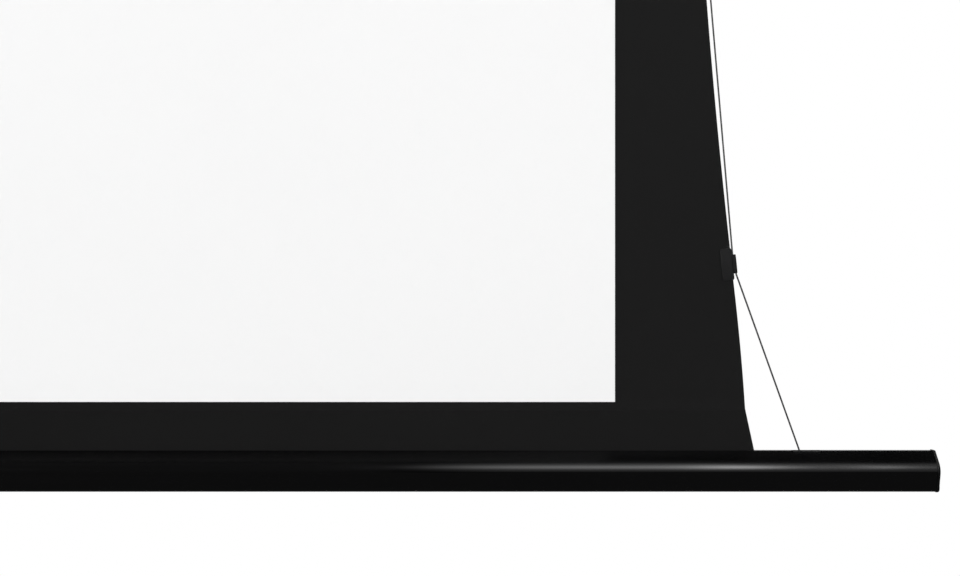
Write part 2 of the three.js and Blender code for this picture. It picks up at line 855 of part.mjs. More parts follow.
const idlerHole = circleHole(idlerPinDiameter / 2 + fitGap, 0, 0);
const idlerPlate = endPlate(idlerHole, []);
place("idler_plate", idlerPlate, zincSteel, [platePlace, -rollerSetback, rollerRise], rightSide);
place("idler_pin", idlerPin(), zincSteel, [0, 0, 0], fixedAxis);
const bearingBore = idlerPinDiameter / 2 + fitGap;
const bearing = ringX(bearingDiameter / 2, bearingBore, crownEnd - bearingWidth, crownEnd, smallSides);
place("idler_bearing", bearing, zincSteel, [0, 0, 0], roller);

// Controls
const boxShape = roundedRect(boxDepth, boxHeight, boxCorner);
const box = alongX(boxShape, -boxLength / 2, boxLength / 2);
place("control_box", box, blackPlastic, [-boxMiddleX, boxMiddleY, (boxBottom + boxTop) / 2]);
const windowLength = windowProud + caseWall + boxFrontGap - fitGap;
const windowFront = -caseDepth - windowProud;
const windowSolid = plateY(windowOutline(0), windowFront, windowLength);
place("ir_window", windowSolid, infraredAcrylic, [-boxMiddleX, 0, -windowDrop]);
const lampBack = windowFront + windowLength;
place("status_lamp", lampHole(lampDiameter / 2, windowFront, lampBack), greenLens);

function manualButton() {
  const r = buttonDiameter / 2;
  const bottom = caseBottom - buttonProud;
  const flangeFrom = caseBottom + caseWall + fitGap;
  const top = boxBottom - fitGap - buttonTravel;
  const profile = [
    [bottom, 0],
    [bottom, r],
    [flangeFrom, r],
    [flangeFrom, buttonFlange / 2],
    [flangeFrom + buttonFlangeHeight, buttonFlange / 2],
    [flangeFrom + buttonFlangeHeight, r / 2],
    [top, r / 2],
    [top, 0],
  ].map(([z, radius]) => new THREE.Vector2(radius, z));
  return new THREE.LatheGeometry(profile, smallSides).rotateX(Math.PI / 2);
}
place("manual_button", manualButton(), greyPlastic, [-boxMiddleX, -buttonSetback, 0]);

// A socket for the left end: a body with a mouth, its outer face on X = 0 and pointing to +X.
function powerInlet() {
  const body = join(
    alongX(roundedRect(inletWidth, inletHeight, fitGap), -inletBody, inletFlange / 2),
    alongX(roundedRect(inletFlangeWidth, inletFlangeHeight, inletFlange), 0, inletFlange),
  );
  const floorX = inletFlange - inletDepth;
  const mouth = roundedRect(inletMouthWidth, inletMouthHeight, inletFlange);
  const hollow = cut(body, alongX(mouth, floorX, inletFlange + cutOverrun));
  const blades = [-inletBladePitch, 0, inletBladePitch].map((y) => {
    const z = y === 0 ? -inletMiddleDrop : 0;
    return block(
      [floorX - inletBlade, y - inletBlade / 2, z - inletBladeHeight / 2],
      [floorX + inletBladeLength, y + inletBlade / 2, z + inletBladeHeight / 2],
    );
  });
  return join(hollow, ...blades);
}

function triggerSocket() {
  const rimWidth = triggerWidth + 2 * triggerRim;
  const rimHeight = triggerHeight + 2 * triggerRim;
  const body = join(
    alongX(roundedRect(triggerWidth, triggerHeight, fitGap), -triggerBody, triggerRim / 2),
    alongX(roundedRect(rimWidth, rimHeight, triggerRim), 0, triggerRim),
  );
  const mouth = roundedRect(triggerMouthWidth, triggerMouthHeight, fitGap);
  return cut(body, alongX(mouth, triggerRim - triggerDepth, triggerRim + cutOverrun));
}

const outside = caseHalf + fitGap;
place("power_inlet", powerInlet(), blackPlastic, [outside, -inletSetback, socketRise], leftSide);
place("trigger_socket", triggerSocket(), greyPlastic, [outside, -triggerSetback, socketRise], leftSide);

// Screen fabric
// How far the fabric's edge stands from the middle, at a height over the bottom bar.
function edgeAt(height) {
  const middle = dropHeight / 2;
  if (height <= 0) return widestHalf;
  if (height < hemHeight) return hemHalf + hemFlare * (1 - height / hemHeight);
  if (height < endTabHeight) {
    const share = Math.min(1, (height - hemHeight) / bellySpan);
    const belly = 4 * edgeBelly * share * (1 - share);
    return tabHalf + (edgeRunToHem * (endTabHeight - height)) / (endTabHeight - hemHeight) + belly;
  }
  if (height > topTabHeight) {
    const share = (height - topTabHeight) / (rollerHeightOverBar - topTabHeight);
    return tabHalf + (widestHalf - tabHalf) * share;
  }
  return narrowHalf + edgeBow * ((height - middle) / (middle - endTabHeight)) ** 2;
}

function screenFabric() {
  const span = topTabHeight - endTabHeight;
  const bowed = Array.from({ length: edgeSteps + 1 }, (_, i) => endTabHeight + (span * i) / edgeSteps);
  const belly = Array.from({ length: bellySteps }, (_, i) => hemHeight + (bellySpan * (i + 1)) / bellySteps);
  const heights = [-lowestHem, 0, hemHeight, ...belly, ...bowed, rollerHeightOverBar];
  const right = heights.map((height) => new THREE.Vector2(edgeAt(height), barTop + height));
  const left = right.map((point) => new THREE.Vector2(-point.x, point.y)).reverse();
  return plateY(new THREE.Shape([...right, ...left]), sheetFrontY, sheetThickness);
}

function viewingSurface() {
  const half = pictureWidth / 2;
  const bottom = barTop + bottomBorder;
  return block(
    [-half, sheetFrontY - pictureThickness, bottom],
    [half, sheetFrontY, bottom + pictureHeight],
  );
}

// A tab: two pads that grip the fabric's edge and a sleeve for the cord past the edge.
function tab() {
  const seat = sheetThickness / 2 + tabGrip;
  const padOuter = seat + tabWall;
  const slab = (xFrom, xTo, half, height) => {
    return block([xFrom, -half, -height / 2], [xTo, half, height / 2]);
  };
  const sleeveShape = roundedRect(sleeveReach - tabSeatPast, sleeveDepth, sleeveRound);
  const sleeve = new THREE.ExtrudeGeometry(sleeveShape, { depth: sleeveHeight, bevelEnabled: false });
  sleeve.translate((sleeveReach + tabSeatPast) / 2, 0, -sleeveHeight / 2);
  const high = tabHeight + 2 * cutOverrun;
  return cut(
    join(slab(-tabWidth, tabLip, padOuter, tabHeight), sleeve),
    slab(-tabWidth - cutOverrun, tabSeatPast, seat, high),
    slab(sleeveBoreFrom, sleeveBoreTo, sleeveBoreDepth / 2, high),
  );
}

const tabPitch = (topTabHeight - endTabHeight) / (tabsPerSide - 1);
const tabHeights = Array.from({ length: tabsPerSide }, (_, i) => endTabHeight + tabPitch * i);
const tabGeometry = tab();
tabHeights.forEach((height, i) => {
  const rise = edgeAt(height + tabHeight / 2) - edgeAt(height - tabHeight / 2);
  const number = tabsPerSide - i;
  for (const [side, name] of [[rightSide, "right_tab_"], [leftSide, "left_tab_"]]) {
    const where = [edgeAt(height), sheetMiddleY, barTop + height];
    const mesh = place(name + number, tabGeometry, tabPlastic, where, side);
    mesh.rotation.y = Math.atan2(rise, tabHeight);
  }
});

// A route of straight runs between chosen points, each run with the same share of the length.
class Route extends THREE.Curve {
  constructor(points) {
    super();
    this.points = points;
  }

  getPoint(share) {
    const at = share * (this.points.length - 1);
    const run = Math.min(Math.floor(at), this.points.length - 2);
    return this.points[run].clone().lerp(this.points[run + 1], at - run);
  }

  getUtoTmapping(share) {
    return share;
  }
}

// The right-hand cord, from the roller's spool down through the tabs into the bar's guide.
function cordPoints() {
  const mouth = sleeveHeight / 2;
  const at = (height, standOff) => [edgeAt(height) + standOff, height];
  const corners = [[cordLanding, rollerHeightOverBar]];
  for (const height of tabHeights.toReversed()) {
    const top = height === tabHeights.at(-1);
    const bottom = height === tabHeights[0];
    corners.push(at(height + mouth, top ? cordExitStandOff : cordStandOff));
    corners.push(at(height, top || bottom ? cordMidStandOff : cordStandOff));
    corners.push(at(height - mouth, bottom ? cordExitStandOff : cordStandOff));
  }
  corners.push([cordLanding, 0]);
  const last = corners.at(-1);
  const before = corners.at(-2);
  const slope = (last[0] - before[0]) / (last[1] - before[1]);
  corners.push([cordLanding - slope * cordDipInGuide, -cordDipInGuide]);
  const points = corners.map(([x, height]) => new THREE.Vector3(x, sheetMiddleY, barTop + height));
  return points.flatMap((point, i) => {
    const next = points[i + 1];
    if (!next) return [point];
    const long = point.distanceTo(next) > 2 * sleeveHeight;
    const runs = long ? cordSegmentsPerSpan : 1;
    return Array.from({ length: runs }, (_, run) => point.clone().lerp(next, run / runs));
  });
}

function cordSolid(points) {
  const section = new THREE.Shape();
  const turn = (2 * Math.PI) / cordSides;
  for (let i = 0; i < cordSides; i += 1) {
    const x = (cordDiameter / 2) * Math.cos(turn * i);
    const y = (cordDiameter / 2) * Math.sin(turn * i);
    if (i === 0) section.moveTo(x, y);
    else section.lineTo(x, y);
  }
  const settings = { steps: points.length - 1, extrudePath: new Route(points), bevelEnabled: false };
  return new THREE.ExtrudeGeometry(section, settings);
}

place("screen_fabric", screenFabric(), blackFabric);
place("viewing_surface", viewingSurface(), whiteVinyl);
placePair("tension_cord", cordSolid(cordPoints()), cordBlack);

// Bottom bar, its outline in Y from the fabric's middle and in Z from its top
function barFrontCurve() {
  const land = new THREE.Vector2(-barTopLand, 0);
  const curve = barFrontShares.map(([depth, height]) => {
    return new THREE.Vector2(-depth * barFront, -height * barHeight);
  });
  return new THREE.SplineCurve([land, ...curve]).getPoints(2 * barFrontShares.length);
}

function barBelowFront(shape, edge) {
  const front = barFrontCurve().at(-1).x;
  const bottom = -barHeight;
  const nose = barNoseRadius;
  shape.absarc(front + nose, bottom + nose, nose, Math.PI, 1.5 * Math.PI);
  shape.absarc(barBack - edge, bottom + edge, edge, 1.5 * Math.PI, 2 * Math.PI);
  shape.absarc(barBack - edge, -edge, edge, 0, Math.PI / 2);
  return shape;
}

function barOutline(backEdgeRadius = barEdgeRadius) {
  const shape = new THREE.Shape(barFrontCurve());
  return pointsOf(barBelowFront(shape, backEdgeRadius));
}

function barGroove() {
  const over = cutOverrun;
  const circle = rodX(hemGrooveRadius, -barHalf - over, barHalf + over);
  const mouth = block(
    [-barHalf - over, -hemMouth / 2, -hemGrooveDepth],
    [barHalf + over, hemMouth / 2, over],
  );
  return [circle.translate(0, 0, -hemGrooveDepth), mouth];
}

// The hollow below the hem groove, or what fills it with a gap on each side.
function barHollow(gap, from, to) {
  const inner = movedOut(barOutline(0), -barWall - gap);
  const core = alongX(new THREE.Shape(inner), from, to);
  const above = block(
    [from - cutOverrun, -barFront, -barHollowTop - gap],
    [to + cutOverrun, barBack, cutOverrun],
  );
  return cut(core, above);
}

const guideMiddle = cordLanding + guideLength / 2 - guideSetback;

function bottomBar() {
  const over = cutOverrun;
  const half = guideWidth / 2 + fitGap;
  const long = guideLength / 2 + fitGap;
  const guidePockets = [guideMiddle, -guideMiddle].map((x) => {
    return block([x - long, -half, -barHollowTop - over], [x + long, half, over]);
  });
  const outer = alongX(new THREE.Shape(barOutline()), -barHalf, barHalf);
  return cut(outer, ...barGroove(), barHollow(0, -barHalf - over, barHalf + over), ...guidePockets);
}

function barCap() {
  const plate = alongX(new THREE.Shape(movedOut(barOutline(), barCapProud)), 0, barCapThickness);
  const plug = barHollow(fitGap, -barPlugDepth, cutOverrun / 2);
  const head = rodX(tensionHeadDiameter / 2 + fitGap, 0, barCapThickness + cutOverrun);
  const shank = rodX(tensionScrewDiameter / 2 + fitGap, -barPlugDepth - cutOverrun, cutOverrun);
  return cut(
    join(plate, plug),
    head.translate(0, -tensionScrewForward, -tensionScrewDrop),
    shank.translate(0, -tensionScrewForward, -tensionScrewDrop),
  );
}

// The guide turns the cord from the bar's top into the bar, through two bores that meet.
function cordGuide() {
  const half = guideWidth / 2;
  const long = guideLength / 2;
  const mouthX = cordLanding - guideMiddle;
  const body = block([-long, -half, -guideHeight], [long, half, -fitGap]);
  const down = block(
    [mouthX - guideMouthWidth / 2, -guideMouthDepth / 2, -tailDrop - tailBore / 2],
    [mouthX + guideMouthWidth / 2, guideMouthDepth / 2, cutOverrun],
  );
  const along = rodX(tailBore / 2, mouthX, long + cutOverrun).translate(0, 0, -tailDrop);
  return cut(body, down, along);
}

function tensionScrew() {
  const shankEnd = guideMiddle + (guideLength + nutStandOff) / 2 - barHalf;
  const r = tensionScrewDiameter / 2;
  return turnedX([
    [shankEnd, 0],
    [shankEnd, r],
    [fitGap, r],
    [fitGap, tensionHeadDiameter / 2],
    [tensionHeadHeight, tensionHeadDiameter / 2],
    [tensionHeadHeight, 0],
  ], smallSides);
}

function tensionNut() {
  const bore = tensionScrewDiameter / 2 + fitGap;
  const body = block([0, -nutFront, -nutBottom], [nutLength, nutBack, -nutTop]);
  const hollow = rodX(bore, -cutOverrun, nutLength + cutOverrun);
  return cut(body, hollow.translate(0, -tensionScrewForward, -tensionScrewDrop));
}

const nutPlace = guideMiddle + guideLength / 2 + nutStandOff;
const tailFrom = guideMiddle + guideLength / 2 - tailInGuide;
const tail = rodX(cordDiameter / 2, tailFrom, nutPlace - fitGap, cordSides);
const screwPlace = [barHalf, sheetMiddleY - tensionScrewForward, barTop - tensionScrewDrop];
const hemRodHalf = widestHalf - hemRodShortfall;
const hemRod = rodX(hemRodDiameter / 2, -hemRodHalf, hemRodHalf);
place("bottom_bar", bottomBar(), glossBlack, [0, sheetMiddleY, barTop]);
place("bar_hem_rod", hemRod, greyPlastic, [0, sheetMiddleY, barTop - hemGrooveDepth]);
placePair("bar_cap", barCap(), blackPlastic, [barHalf, sheetMiddleY, barTop]);
placePair("cord_guide", cordGuide(), blackPlastic, [guideMiddle, sheetMiddleY, barTop]);
placePair("tension_screw", tensionScrew(), zincSteel, screwPlace);
placePair("tension_nut", tensionNut(), zincSteel, [nutPlace, sheetMiddleY, barTop]);
placePair("cord_tail", tail, cordBlack, [0, sheetMiddleY, barTop - tailDrop]);

export default screen;
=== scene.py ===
"""Dresses a motorized projector screen, let down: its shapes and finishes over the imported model.

Sizes are in millimetres until a mesh is made, which puts them in metres. +Z is up, +X is the
viewer's right, and the white side faces -Y.
"""

from __future__ import annotations

import json
import logging
import math
from dataclasses import dataclass, field
from enum import Enum
from typing import Iterable, Sequence

import bmesh
import bpy
import numpy as np
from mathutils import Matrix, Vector, geometry

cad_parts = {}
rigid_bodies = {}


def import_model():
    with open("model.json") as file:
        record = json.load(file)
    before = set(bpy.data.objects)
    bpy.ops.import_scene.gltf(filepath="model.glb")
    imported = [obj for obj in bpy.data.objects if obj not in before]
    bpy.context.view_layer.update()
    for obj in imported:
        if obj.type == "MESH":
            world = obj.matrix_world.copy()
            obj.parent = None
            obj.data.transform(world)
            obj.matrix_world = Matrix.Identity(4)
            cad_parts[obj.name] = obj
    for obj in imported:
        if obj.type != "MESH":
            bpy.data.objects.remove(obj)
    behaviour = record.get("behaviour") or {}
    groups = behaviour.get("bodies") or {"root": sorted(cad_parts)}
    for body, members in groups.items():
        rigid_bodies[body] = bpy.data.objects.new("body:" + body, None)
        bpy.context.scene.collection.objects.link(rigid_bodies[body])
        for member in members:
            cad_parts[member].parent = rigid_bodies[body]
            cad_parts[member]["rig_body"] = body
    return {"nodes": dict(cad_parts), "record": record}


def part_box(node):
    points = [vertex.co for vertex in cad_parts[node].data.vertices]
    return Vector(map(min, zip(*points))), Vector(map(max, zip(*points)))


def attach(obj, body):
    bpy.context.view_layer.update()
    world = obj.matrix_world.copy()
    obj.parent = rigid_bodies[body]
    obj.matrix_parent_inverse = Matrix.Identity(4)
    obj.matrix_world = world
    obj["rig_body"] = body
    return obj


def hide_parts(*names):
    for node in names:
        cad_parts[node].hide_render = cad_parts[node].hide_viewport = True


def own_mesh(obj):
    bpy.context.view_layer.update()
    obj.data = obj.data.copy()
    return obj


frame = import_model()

log = logging.getLogger("projector_screen")
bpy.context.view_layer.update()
MM = 0.001

Colour = tuple[float, float, float]
WHITE: Colour = (1.0, 1.0, 1.0)

# Places that more than one sub-assembly needs, in millimetres
BAR_TOP = -1772.5
SCREEN_Y = -29.3
CLOTH_HALF = 1227.2
SPOOL_X = 1266.3
ROLLER_AXIS = (0.0, -66.0, 6.0)


class Slot(Enum):
    """The record's material slots."""

    CASE_BLACK = "case_black"
    BAR_BLACK = "bar_black"
    GLOSS_PLASTIC = "gloss_plastic"
    BLACK_PLASTIC = "black_plastic"
    BLACK_FABRIC = "black_fabric"
    WHITE_VINYL = "white_vinyl"
    TAB_PLASTIC = "tab_plastic"
    BLACK_CORD = "black_cord"
    BLACK_RUBBER = "black_rubber"
    BARE_ALUMINIUM = "bare_aluminium"
    ZINC_STEEL = "zinc_steel"
    GREY_PLASTIC = "grey_plastic"
    INFRARED_ACRYLIC = "infrared_acrylic"
    GREEN_LENS = "green_lens"
    YELLOW_PLASTIC = "yellow_plastic"
    WHITE_PLASTIC = "white_plastic"


class Side(Enum):
    """The viewer's right and left half of the screen, as the sign of X."""

    RIGHT = 1
    LEFT = -1

    @property
    def word(self) -> str:
        """The side's word in the nodes' names."""
        return self.name.lower()


# Finishes


class Tree:
    """A shader node tree, or a group's, while it is being wired."""

    def __init__(self, tree: bpy.types.NodeTree) -> None:
        """Keeps the tree that the nodes go into."""
        self.tree = tree

    def node(self, kind: str, settings: dict | None = None, **inputs: object) -> bpy.types.Node:
        """Adds a node and fills its inputs.

        Args:
            kind: the node's type, without the leading ShaderNode.
            settings: the node's own settings by name.
            inputs: a value or another node's output for each input; _ stands for a space.

        Returns:
            The new node.
        """
        node = self.tree.nodes.new("ShaderNode" + kind)
        for name, value in (settings or {}).items():
            setattr(node, name, value)
        for name, value in inputs.items():
            self.feed(node, name.replace("_", " "), value)
        return node

    def feed(self, node: bpy.types.Node, socket: str | int, value: object) -> None:
        """Sets one input, or links it when the value is another node's output.

        Args:
            node: the node that has the input.
            socket: the input's name or number.
            value: a number, a colour or another node's output.
        """
        target = node.inputs[socket]
        if isinstance(value, bpy.types.NodeSocket):
            self.tree.links.new(value, target)
        elif isinstance(value, tuple) and len(value) == 3 and target.type == "RGBA":
            target.default_value = (*value, 1)
        else:
            target.default_value = value

    def math(self, operation: str, *values: object) -> bpy.types.NodeSocket:
        """A Math node's result for the given values.

        Args:
            operation: the node's operation.
            *values: its inputs, in order.

        Returns:
            the result's output.
        """
        node = self.node("Math", {"operation": operation})
        for i, value in enumerate(values):
            self.feed(node, i, value)
        return node.outputs[0]

    def blend(self, share: object, low: object, high: object) -> bpy.types.NodeSocket:
        """A colour between two colours, by a share from 0 to 1.

        Args:
            share: how far it goes to the second colour.
            low: the colour at 0.
            high: the colour at 1.

        Returns:
            the colour's output.
        """
        node = self.node("Mix", {"data_type": "RGBA"})
        self.feed(node, 0, share)
        self.feed(node, 6, low)
        self.feed(node, 7, high)
        return node.outputs[2]

    def between(self, value: object, low: float, high: float) -> bpy.types.NodeSocket:
        """A number from low to high, as the value goes from 0 to 1.

        Args:
            value: the value that it follows.
            low: the number at 0.
            high: the number at 1.

        Returns:
            the number's output.
        """
        node = self.node("MapRange", To_Min=low, To_Max=high)
        self.feed(node, 0, value)
        return node.outputs[0]

    def ramp(self, value: object, start: float, end: float) -> bpy.types.NodeSocket:
        """A smooth rise from 0 to 1, as the value goes from the start to the end.

        Args:
            value: the value that it follows.
            start: where the rise begins.
            end: where it ends.

        Returns:
            the share's output.
        """
        smooth = {"interpolation_type": "SMOOTHSTEP"}
        node = self.node("MapRange", smooth, From_Min=start, From_Max=end)
        self.feed(node, 0, value)
        return node.outputs[0]

    def mixed(self, share: object, low: object, high: object) -> bpy.types.NodeSocket:
        """One shader or another, by a share from 0 to 1.

        Args:
            share: how far it goes to the second shader.
            low: the shader at 0.
            high: the shader at 1.

        Returns:
            the mix's output.
        """
        node = self.node("MixShader")
        for i, value in enumerate((share, low, high)):
            self.feed(node, i, value)
        return node.outputs[0]

    def effect(self, group: bpy.types.NodeTree, **inputs: object) -> bpy.types.Node:
        """Places a shared effect with its own values.

        Args:
            group: the effect's node group.
            **inputs: its inputs, by name.

        Returns:
            the group's node.
        """
        node = self.tree.nodes.new("ShaderNodeGroup")
        node.node_tree = group
        for name, value in inputs.items():
            self.feed(node, name.replace("_", " "), value)
        return node


class Skin(Tree):
    """A material's node tree, with its shader and the coordinates that its patterns follow."""

    def __init__(self, material: bpy.types.Material) -> None:
        """Takes the material's tree and adds the coordinates.

        Args:
            material: the material.
        """
        super().__init__(material.node_tree)
        self.shader = material.node_tree.nodes["Principled BSDF"]
        place = self.node("TexCoord")
        self.at, self.map = place.outputs["Object"], place.outputs["UV"]

    def set(self, **inputs: object) -> None:
        """Feeds the shader's inputs by name; _ stands for a space."""
        for name, value in inputs.items():
            self.feed(self.shader, name.replace("_", " "), value)

    def emit(self, light: bpy.types.NodeSocket) -> None:
        """Shows the given shader's output in place of its own."""
        self.feed(self.tree.nodes["Material Output"], "Surface", light)


class Effects:
    """The shared effects, each a node group that is built once."""

    def __init__(self) -> None:
        """Builds every group."""
        self.grain = self._grain()
        self.drift = self._drift()
        self.streaks = self._streaks()
        self.weave = self._weave()
        self.dust = self._dust()

    @staticmethod
    def _group(name: str, inputs: dict[str, object], outputs: dict[str, str]) -> tuple:
        """Starts a group.

        Args:
            name: the group's name.
            inputs: each input's name with its default, a number, a colour or "vector".
            outputs: each output's name with its socket type.

        Returns:
            The group, its tree helper, its input node and its output node.
        """
        group = bpy.data.node_groups.new(name, "ShaderNodeTree")
        for label, default in inputs.items():
            if default == "vector":
                group.interface.new_socket(label, in_out="INPUT", socket_type="NodeSocketVector")
                continue
            kind = "NodeSocketColor" if isinstance(default, tuple) else "NodeSocketFloat"
            socket = group.interface.new_socket(label, in_out="INPUT", socket_type=kind)
            socket.default_value = (*default, 1) if isinstance(default, tuple) else default
        for label, kind in outputs.items():
            group.interface.new_socket(label, in_out="OUTPUT", socket_type=kind)
        given = group.nodes.new("NodeGroupInput")
        out = group.nodes.new("NodeGroupOutput")
        return group, Tree(group), given, out

    def _grain(self) -> bpy.types.NodeTree:
        """Fine pits and grains, as a moulded or powder-coated skin has.

        Returns:
            the effect's group.
        """
        inputs = {"Vector": "vector", "Scale": 900.0, "Pits": 0.4}
        group, tree, given, out = self._group("fine_grain", inputs, {"Height": "NodeSocketFloat"})
        at, scale = given.outputs["Vector"], given.outputs["Scale"]
        noise = tree.node("TexNoise", Vector=at, Scale=scale, Detail=3.0)
        pits = tree.node("TexVoronoi", Vector=at, Scale=scale)
        deep = tree.math("MULTIPLY", pits.outputs["Distance"], given.outputs["Pits"])
        tree.feed(out, 0, tree.math("ADD", noise.outputs["Fac"], deep))
        return group

    def _drift(self) -> bpy.types.NodeTree:
        """A slow change between two colours, with the share that it follows.

        Returns:
            the effect's group.
        """
        grey = (0.5, 0.5, 0.5)
        inputs = {"Vector": "vector", "Scale": 6.0, "Light": grey, "Dark": grey}
        outputs = {"Colour": "NodeSocketColor", "Share": "NodeSocketFloat"}
        group, tree, given, out = self._group("colour_drift", inputs, outputs)
        at, scale = given.outputs["Vector"], given.outputs["Scale"]
        wide = tree.node("TexNoise", Vector=at, Scale=scale, Detail=4.0)
        share = tree.node("MapRange", From_Min=0.3, From_Max=0.7)
        tree.feed(share, 0, wide.outputs["Fac"])
        colour = tree.blend(share.outputs[0], given.outputs["Dark"], given.outputs["Light"])
        tree.feed(out, 0, colour)
        tree.feed(out, 1, share.outputs[0])
        return group

    def _streaks(self) -> bpy.types.NodeTree:
        """Long lines, as drawing or brushing leaves, running where Stretch is small.

        Returns:
            the effect's group.
        """
        inputs = {"Vector": "vector", "Scale": 400.0, "Stretch": "vector"}
        outputs = {"Height": "NodeSocketFloat"}
        group, tree, given, out = self._group("drawn_streaks", inputs, outputs)
        scaled = tree.node("VectorMath", {"operation": "MULTIPLY"})
        tree.feed(scaled, 0, given.outputs["Vector"])
        tree.feed(scaled, 1, given.outputs["Stretch"])
        scale = given.outputs["Scale"]
        noise = tree.node("TexNoise", Vector=scaled.outputs[0], Scale=scale, Detail=5.0)
        tree.feed(out, 0, noise.outputs["Fac"])
        return group

    def _weave(self) -> bpy.types.NodeTree:
        """Plain weave in the plane of X and Z: threads that pass over and under each other.

        Returns:
            the effect's group.
        """
        inputs = {"Vector": "vector", "Threads per metre": 1800.0}
        outputs = {"Height": "NodeSocketFloat"}
        group, tree, given, out = self._group("woven_threads", inputs, outputs)
        parts = tree.node("SeparateXYZ", Vector=given.outputs["Vector"])
        turns = tree.math("MULTIPLY", given.outputs["Threads per metre"], math.pi)
        warp = tree.math("SINE", tree.math("MULTIPLY", parts.outputs["X"], turns))
        weft = tree.math("SINE", tree.math("MULTIPLY", parts.outputs["Z"], turns))
        over = tree.math("MULTIPLY", warp, weft)
        raised = tree.math("MAXIMUM", tree.math("ABSOLUTE", warp), tree.math("ABSOLUTE", weft))
        crossing_share = 0.35
        tree.feed(out, 0, tree.math("MULTIPLY_ADD", over, crossing_share, raised))
        return group

    def _dust(self) -> bpy.types.NodeTree:
        """Specks that settle on faces that look up.

        Returns:
            the effect's group.
        """
        inputs = {"Vector": "vector", "Amount": 0.2}
        group, tree, given, out = self._group("settled_dust", inputs, {"Mask": "NodeSocketFloat"})
        shape = tree.node("NewGeometry")
        facing = tree.node("SeparateXYZ", Vector=shape.outputs["Normal"])
        up = tree.node("MapRange", From_Min=0.4, From_Max=1.0)
        tree.feed(up, 0, facing.outputs["Z"])
        specks = tree.node("TexNoise", Vector=given.outputs["Vector"], Scale=60.0, Detail=8.0)
        settled = tree.math("MULTIPLY", up.outputs[0], specks.outputs["Fac"])
        tree.feed(out, 0, tree.math("MULTIPLY", settled, given.outputs["Amount"]))
        return group


effects = Effects()
materials: dict[str, bpy.types.Material] = {}


@dataclass(frozen=True)
class Finish:
    """What all finishes share.

    The slow patches of tone and the grain are counted to a metre. The tints are the factors
    for the darkest and the lightest patch, and the spread is how far the roughness goes below
    and above its own value. The relief's depth is in millimetres, and its strength is how
    much of it is used.
    """

    slot: Slot
    colour: Colour
    roughness: float = 0.5
    specular: float = 0.3
    patches: float = 8.0
    tints: tuple[float, float] = (0.8, 1.2)
    spread: tuple[float, float] = (-0.04, 0.04)
    grain: float = 1400.0
    pits: float = 0.3
    depth: float = 0.02
    strength: float = 0.2

    def material(self) -> bpy.types.Material:
        """The finish's material, made the first time that it is asked for.

        Returns:
            the material.
        """
        key = f"{self.slot.value}_{self.specular:g}".replace(".", "_")
        if key not in materials:
            made = bpy.data.materials.new(key)
            made.use_nodes = True
            skin = Skin(made)
            skin.set(Base_Color=self.colour, Roughness=self.roughness)
            skin.set(Specular_IOR_Level=self.specular)
            self.dress(skin)
            materials[key] = made
        return materials[key]

    def dress(self, skin: Skin) -> None:
        """Wires what this finish adds to the plain shader."""

    def tint(self, factor: float) -> Colour:
        """The colour, lighter or darker by a factor."""
        return tuple(min(1.0, part * factor) for part in self.colour)

    def drifted(self, skin: Skin) -> tuple[bpy.types.NodeSocket, bpy.types.NodeSocket]:
        """The slow change between the two tints.

        Args:
            skin: the material's node tree.

        Returns:
            the colour, and the share that it follows.
        """
        dark, light = (self.tint(factor) for factor in self.tints)
        inputs = {"Vector": skin.at, "Scale": self.patches, "Light": light, "Dark": dark}
        drift = skin.effect(effects.drift, **inputs)
        return drift.outputs["Colour"], drift.outputs["Share"]

    def grained(self, skin: Skin) -> bpy.types.NodeSocket:
        """The fine grain's height."""
        grain = skin.effect(effects.grain, Vector=skin.at, Scale=self.grain, Pits=self.pits)
        return grain.outputs[0]

    def roughen(self, skin: Skin, share: object) -> None:
        """Lets the roughness go through its spread, as a share goes from 0 to 1.

        Args:
            skin: the material's node tree.
            share: the share that it follows.
        """
        low, high = (self.roughness + part for part in self.spread)
        skin.set(Roughness=skin.between(share, low, high))

    def emboss(self, skin: Skin, height: object) -> None:
        """Gives the shader a relief.

        Args:
            skin: the material's node tree.
            height: the relief's signal, from 0 to 1.
        """
        distance = self.depth * MM
        node = skin.node("Bump", Strength=self.strength, Distance=distance, Height=height)
        skin.set(Normal=node.outputs[0])


@dataclass(frozen=True)
class LinedSkin(Finish):
    """What the finishes with drawn lines along X share: how fine and how long the lines are."""

    lines: float = 700.0
    stretch: tuple[float, float, float] = (0.01, 1.0, 1.0)

    def streaked(self, skin: Skin) -> bpy.types.NodeSocket:
        """The height of the lines."""
        inputs = {"Vector": skin.at, "Scale": self.lines, "Stretch": self.stretch}
        return skin.effect(effects.streaks, **inputs).outputs[0]


@dataclass(frozen=True)
class GrainedSkin(Finish):
    """A grained skin, with or without a little dust on the faces that look up."""

    dust: float = 0.0
    dust_colour: Colour = (0.3, 0.29, 0.27)

    def dress(self, skin: Skin) -> None:
        """Adds the grain, a slow change of tone, a roughness that follows the grain, and dust.

        Args:
            skin: the material's node tree.
        """
        colour, _ = self.drifted(skin)
        if self.dust:
            dust = skin.effect(effects.dust, Vector=skin.at, Amount=self.dust)
            colour = skin.blend(dust.outputs[0], colour, self.dust_colour)
        skin.set(Base_Color=colour)
        height = self.grained(skin)
        self.roughen(skin, height)
        self.emboss(skin, height)


@dataclass(frozen=True)
class CoatedMetal(GrainedSkin):
    """Powder coat or anodising on an aluminium extrusion."""

    patches: float = 5.0
    tints: tuple[float, float] = (0.85, 1.15)
    spread: tuple[float, float] = (-0.05, 0.06)
    pits: float = 0.5
    depth: float = 0.05
    strength: float = 0.35
    dust: float = 0.12
    dust_colour: Colour = (0.25, 0.24, 0.22)


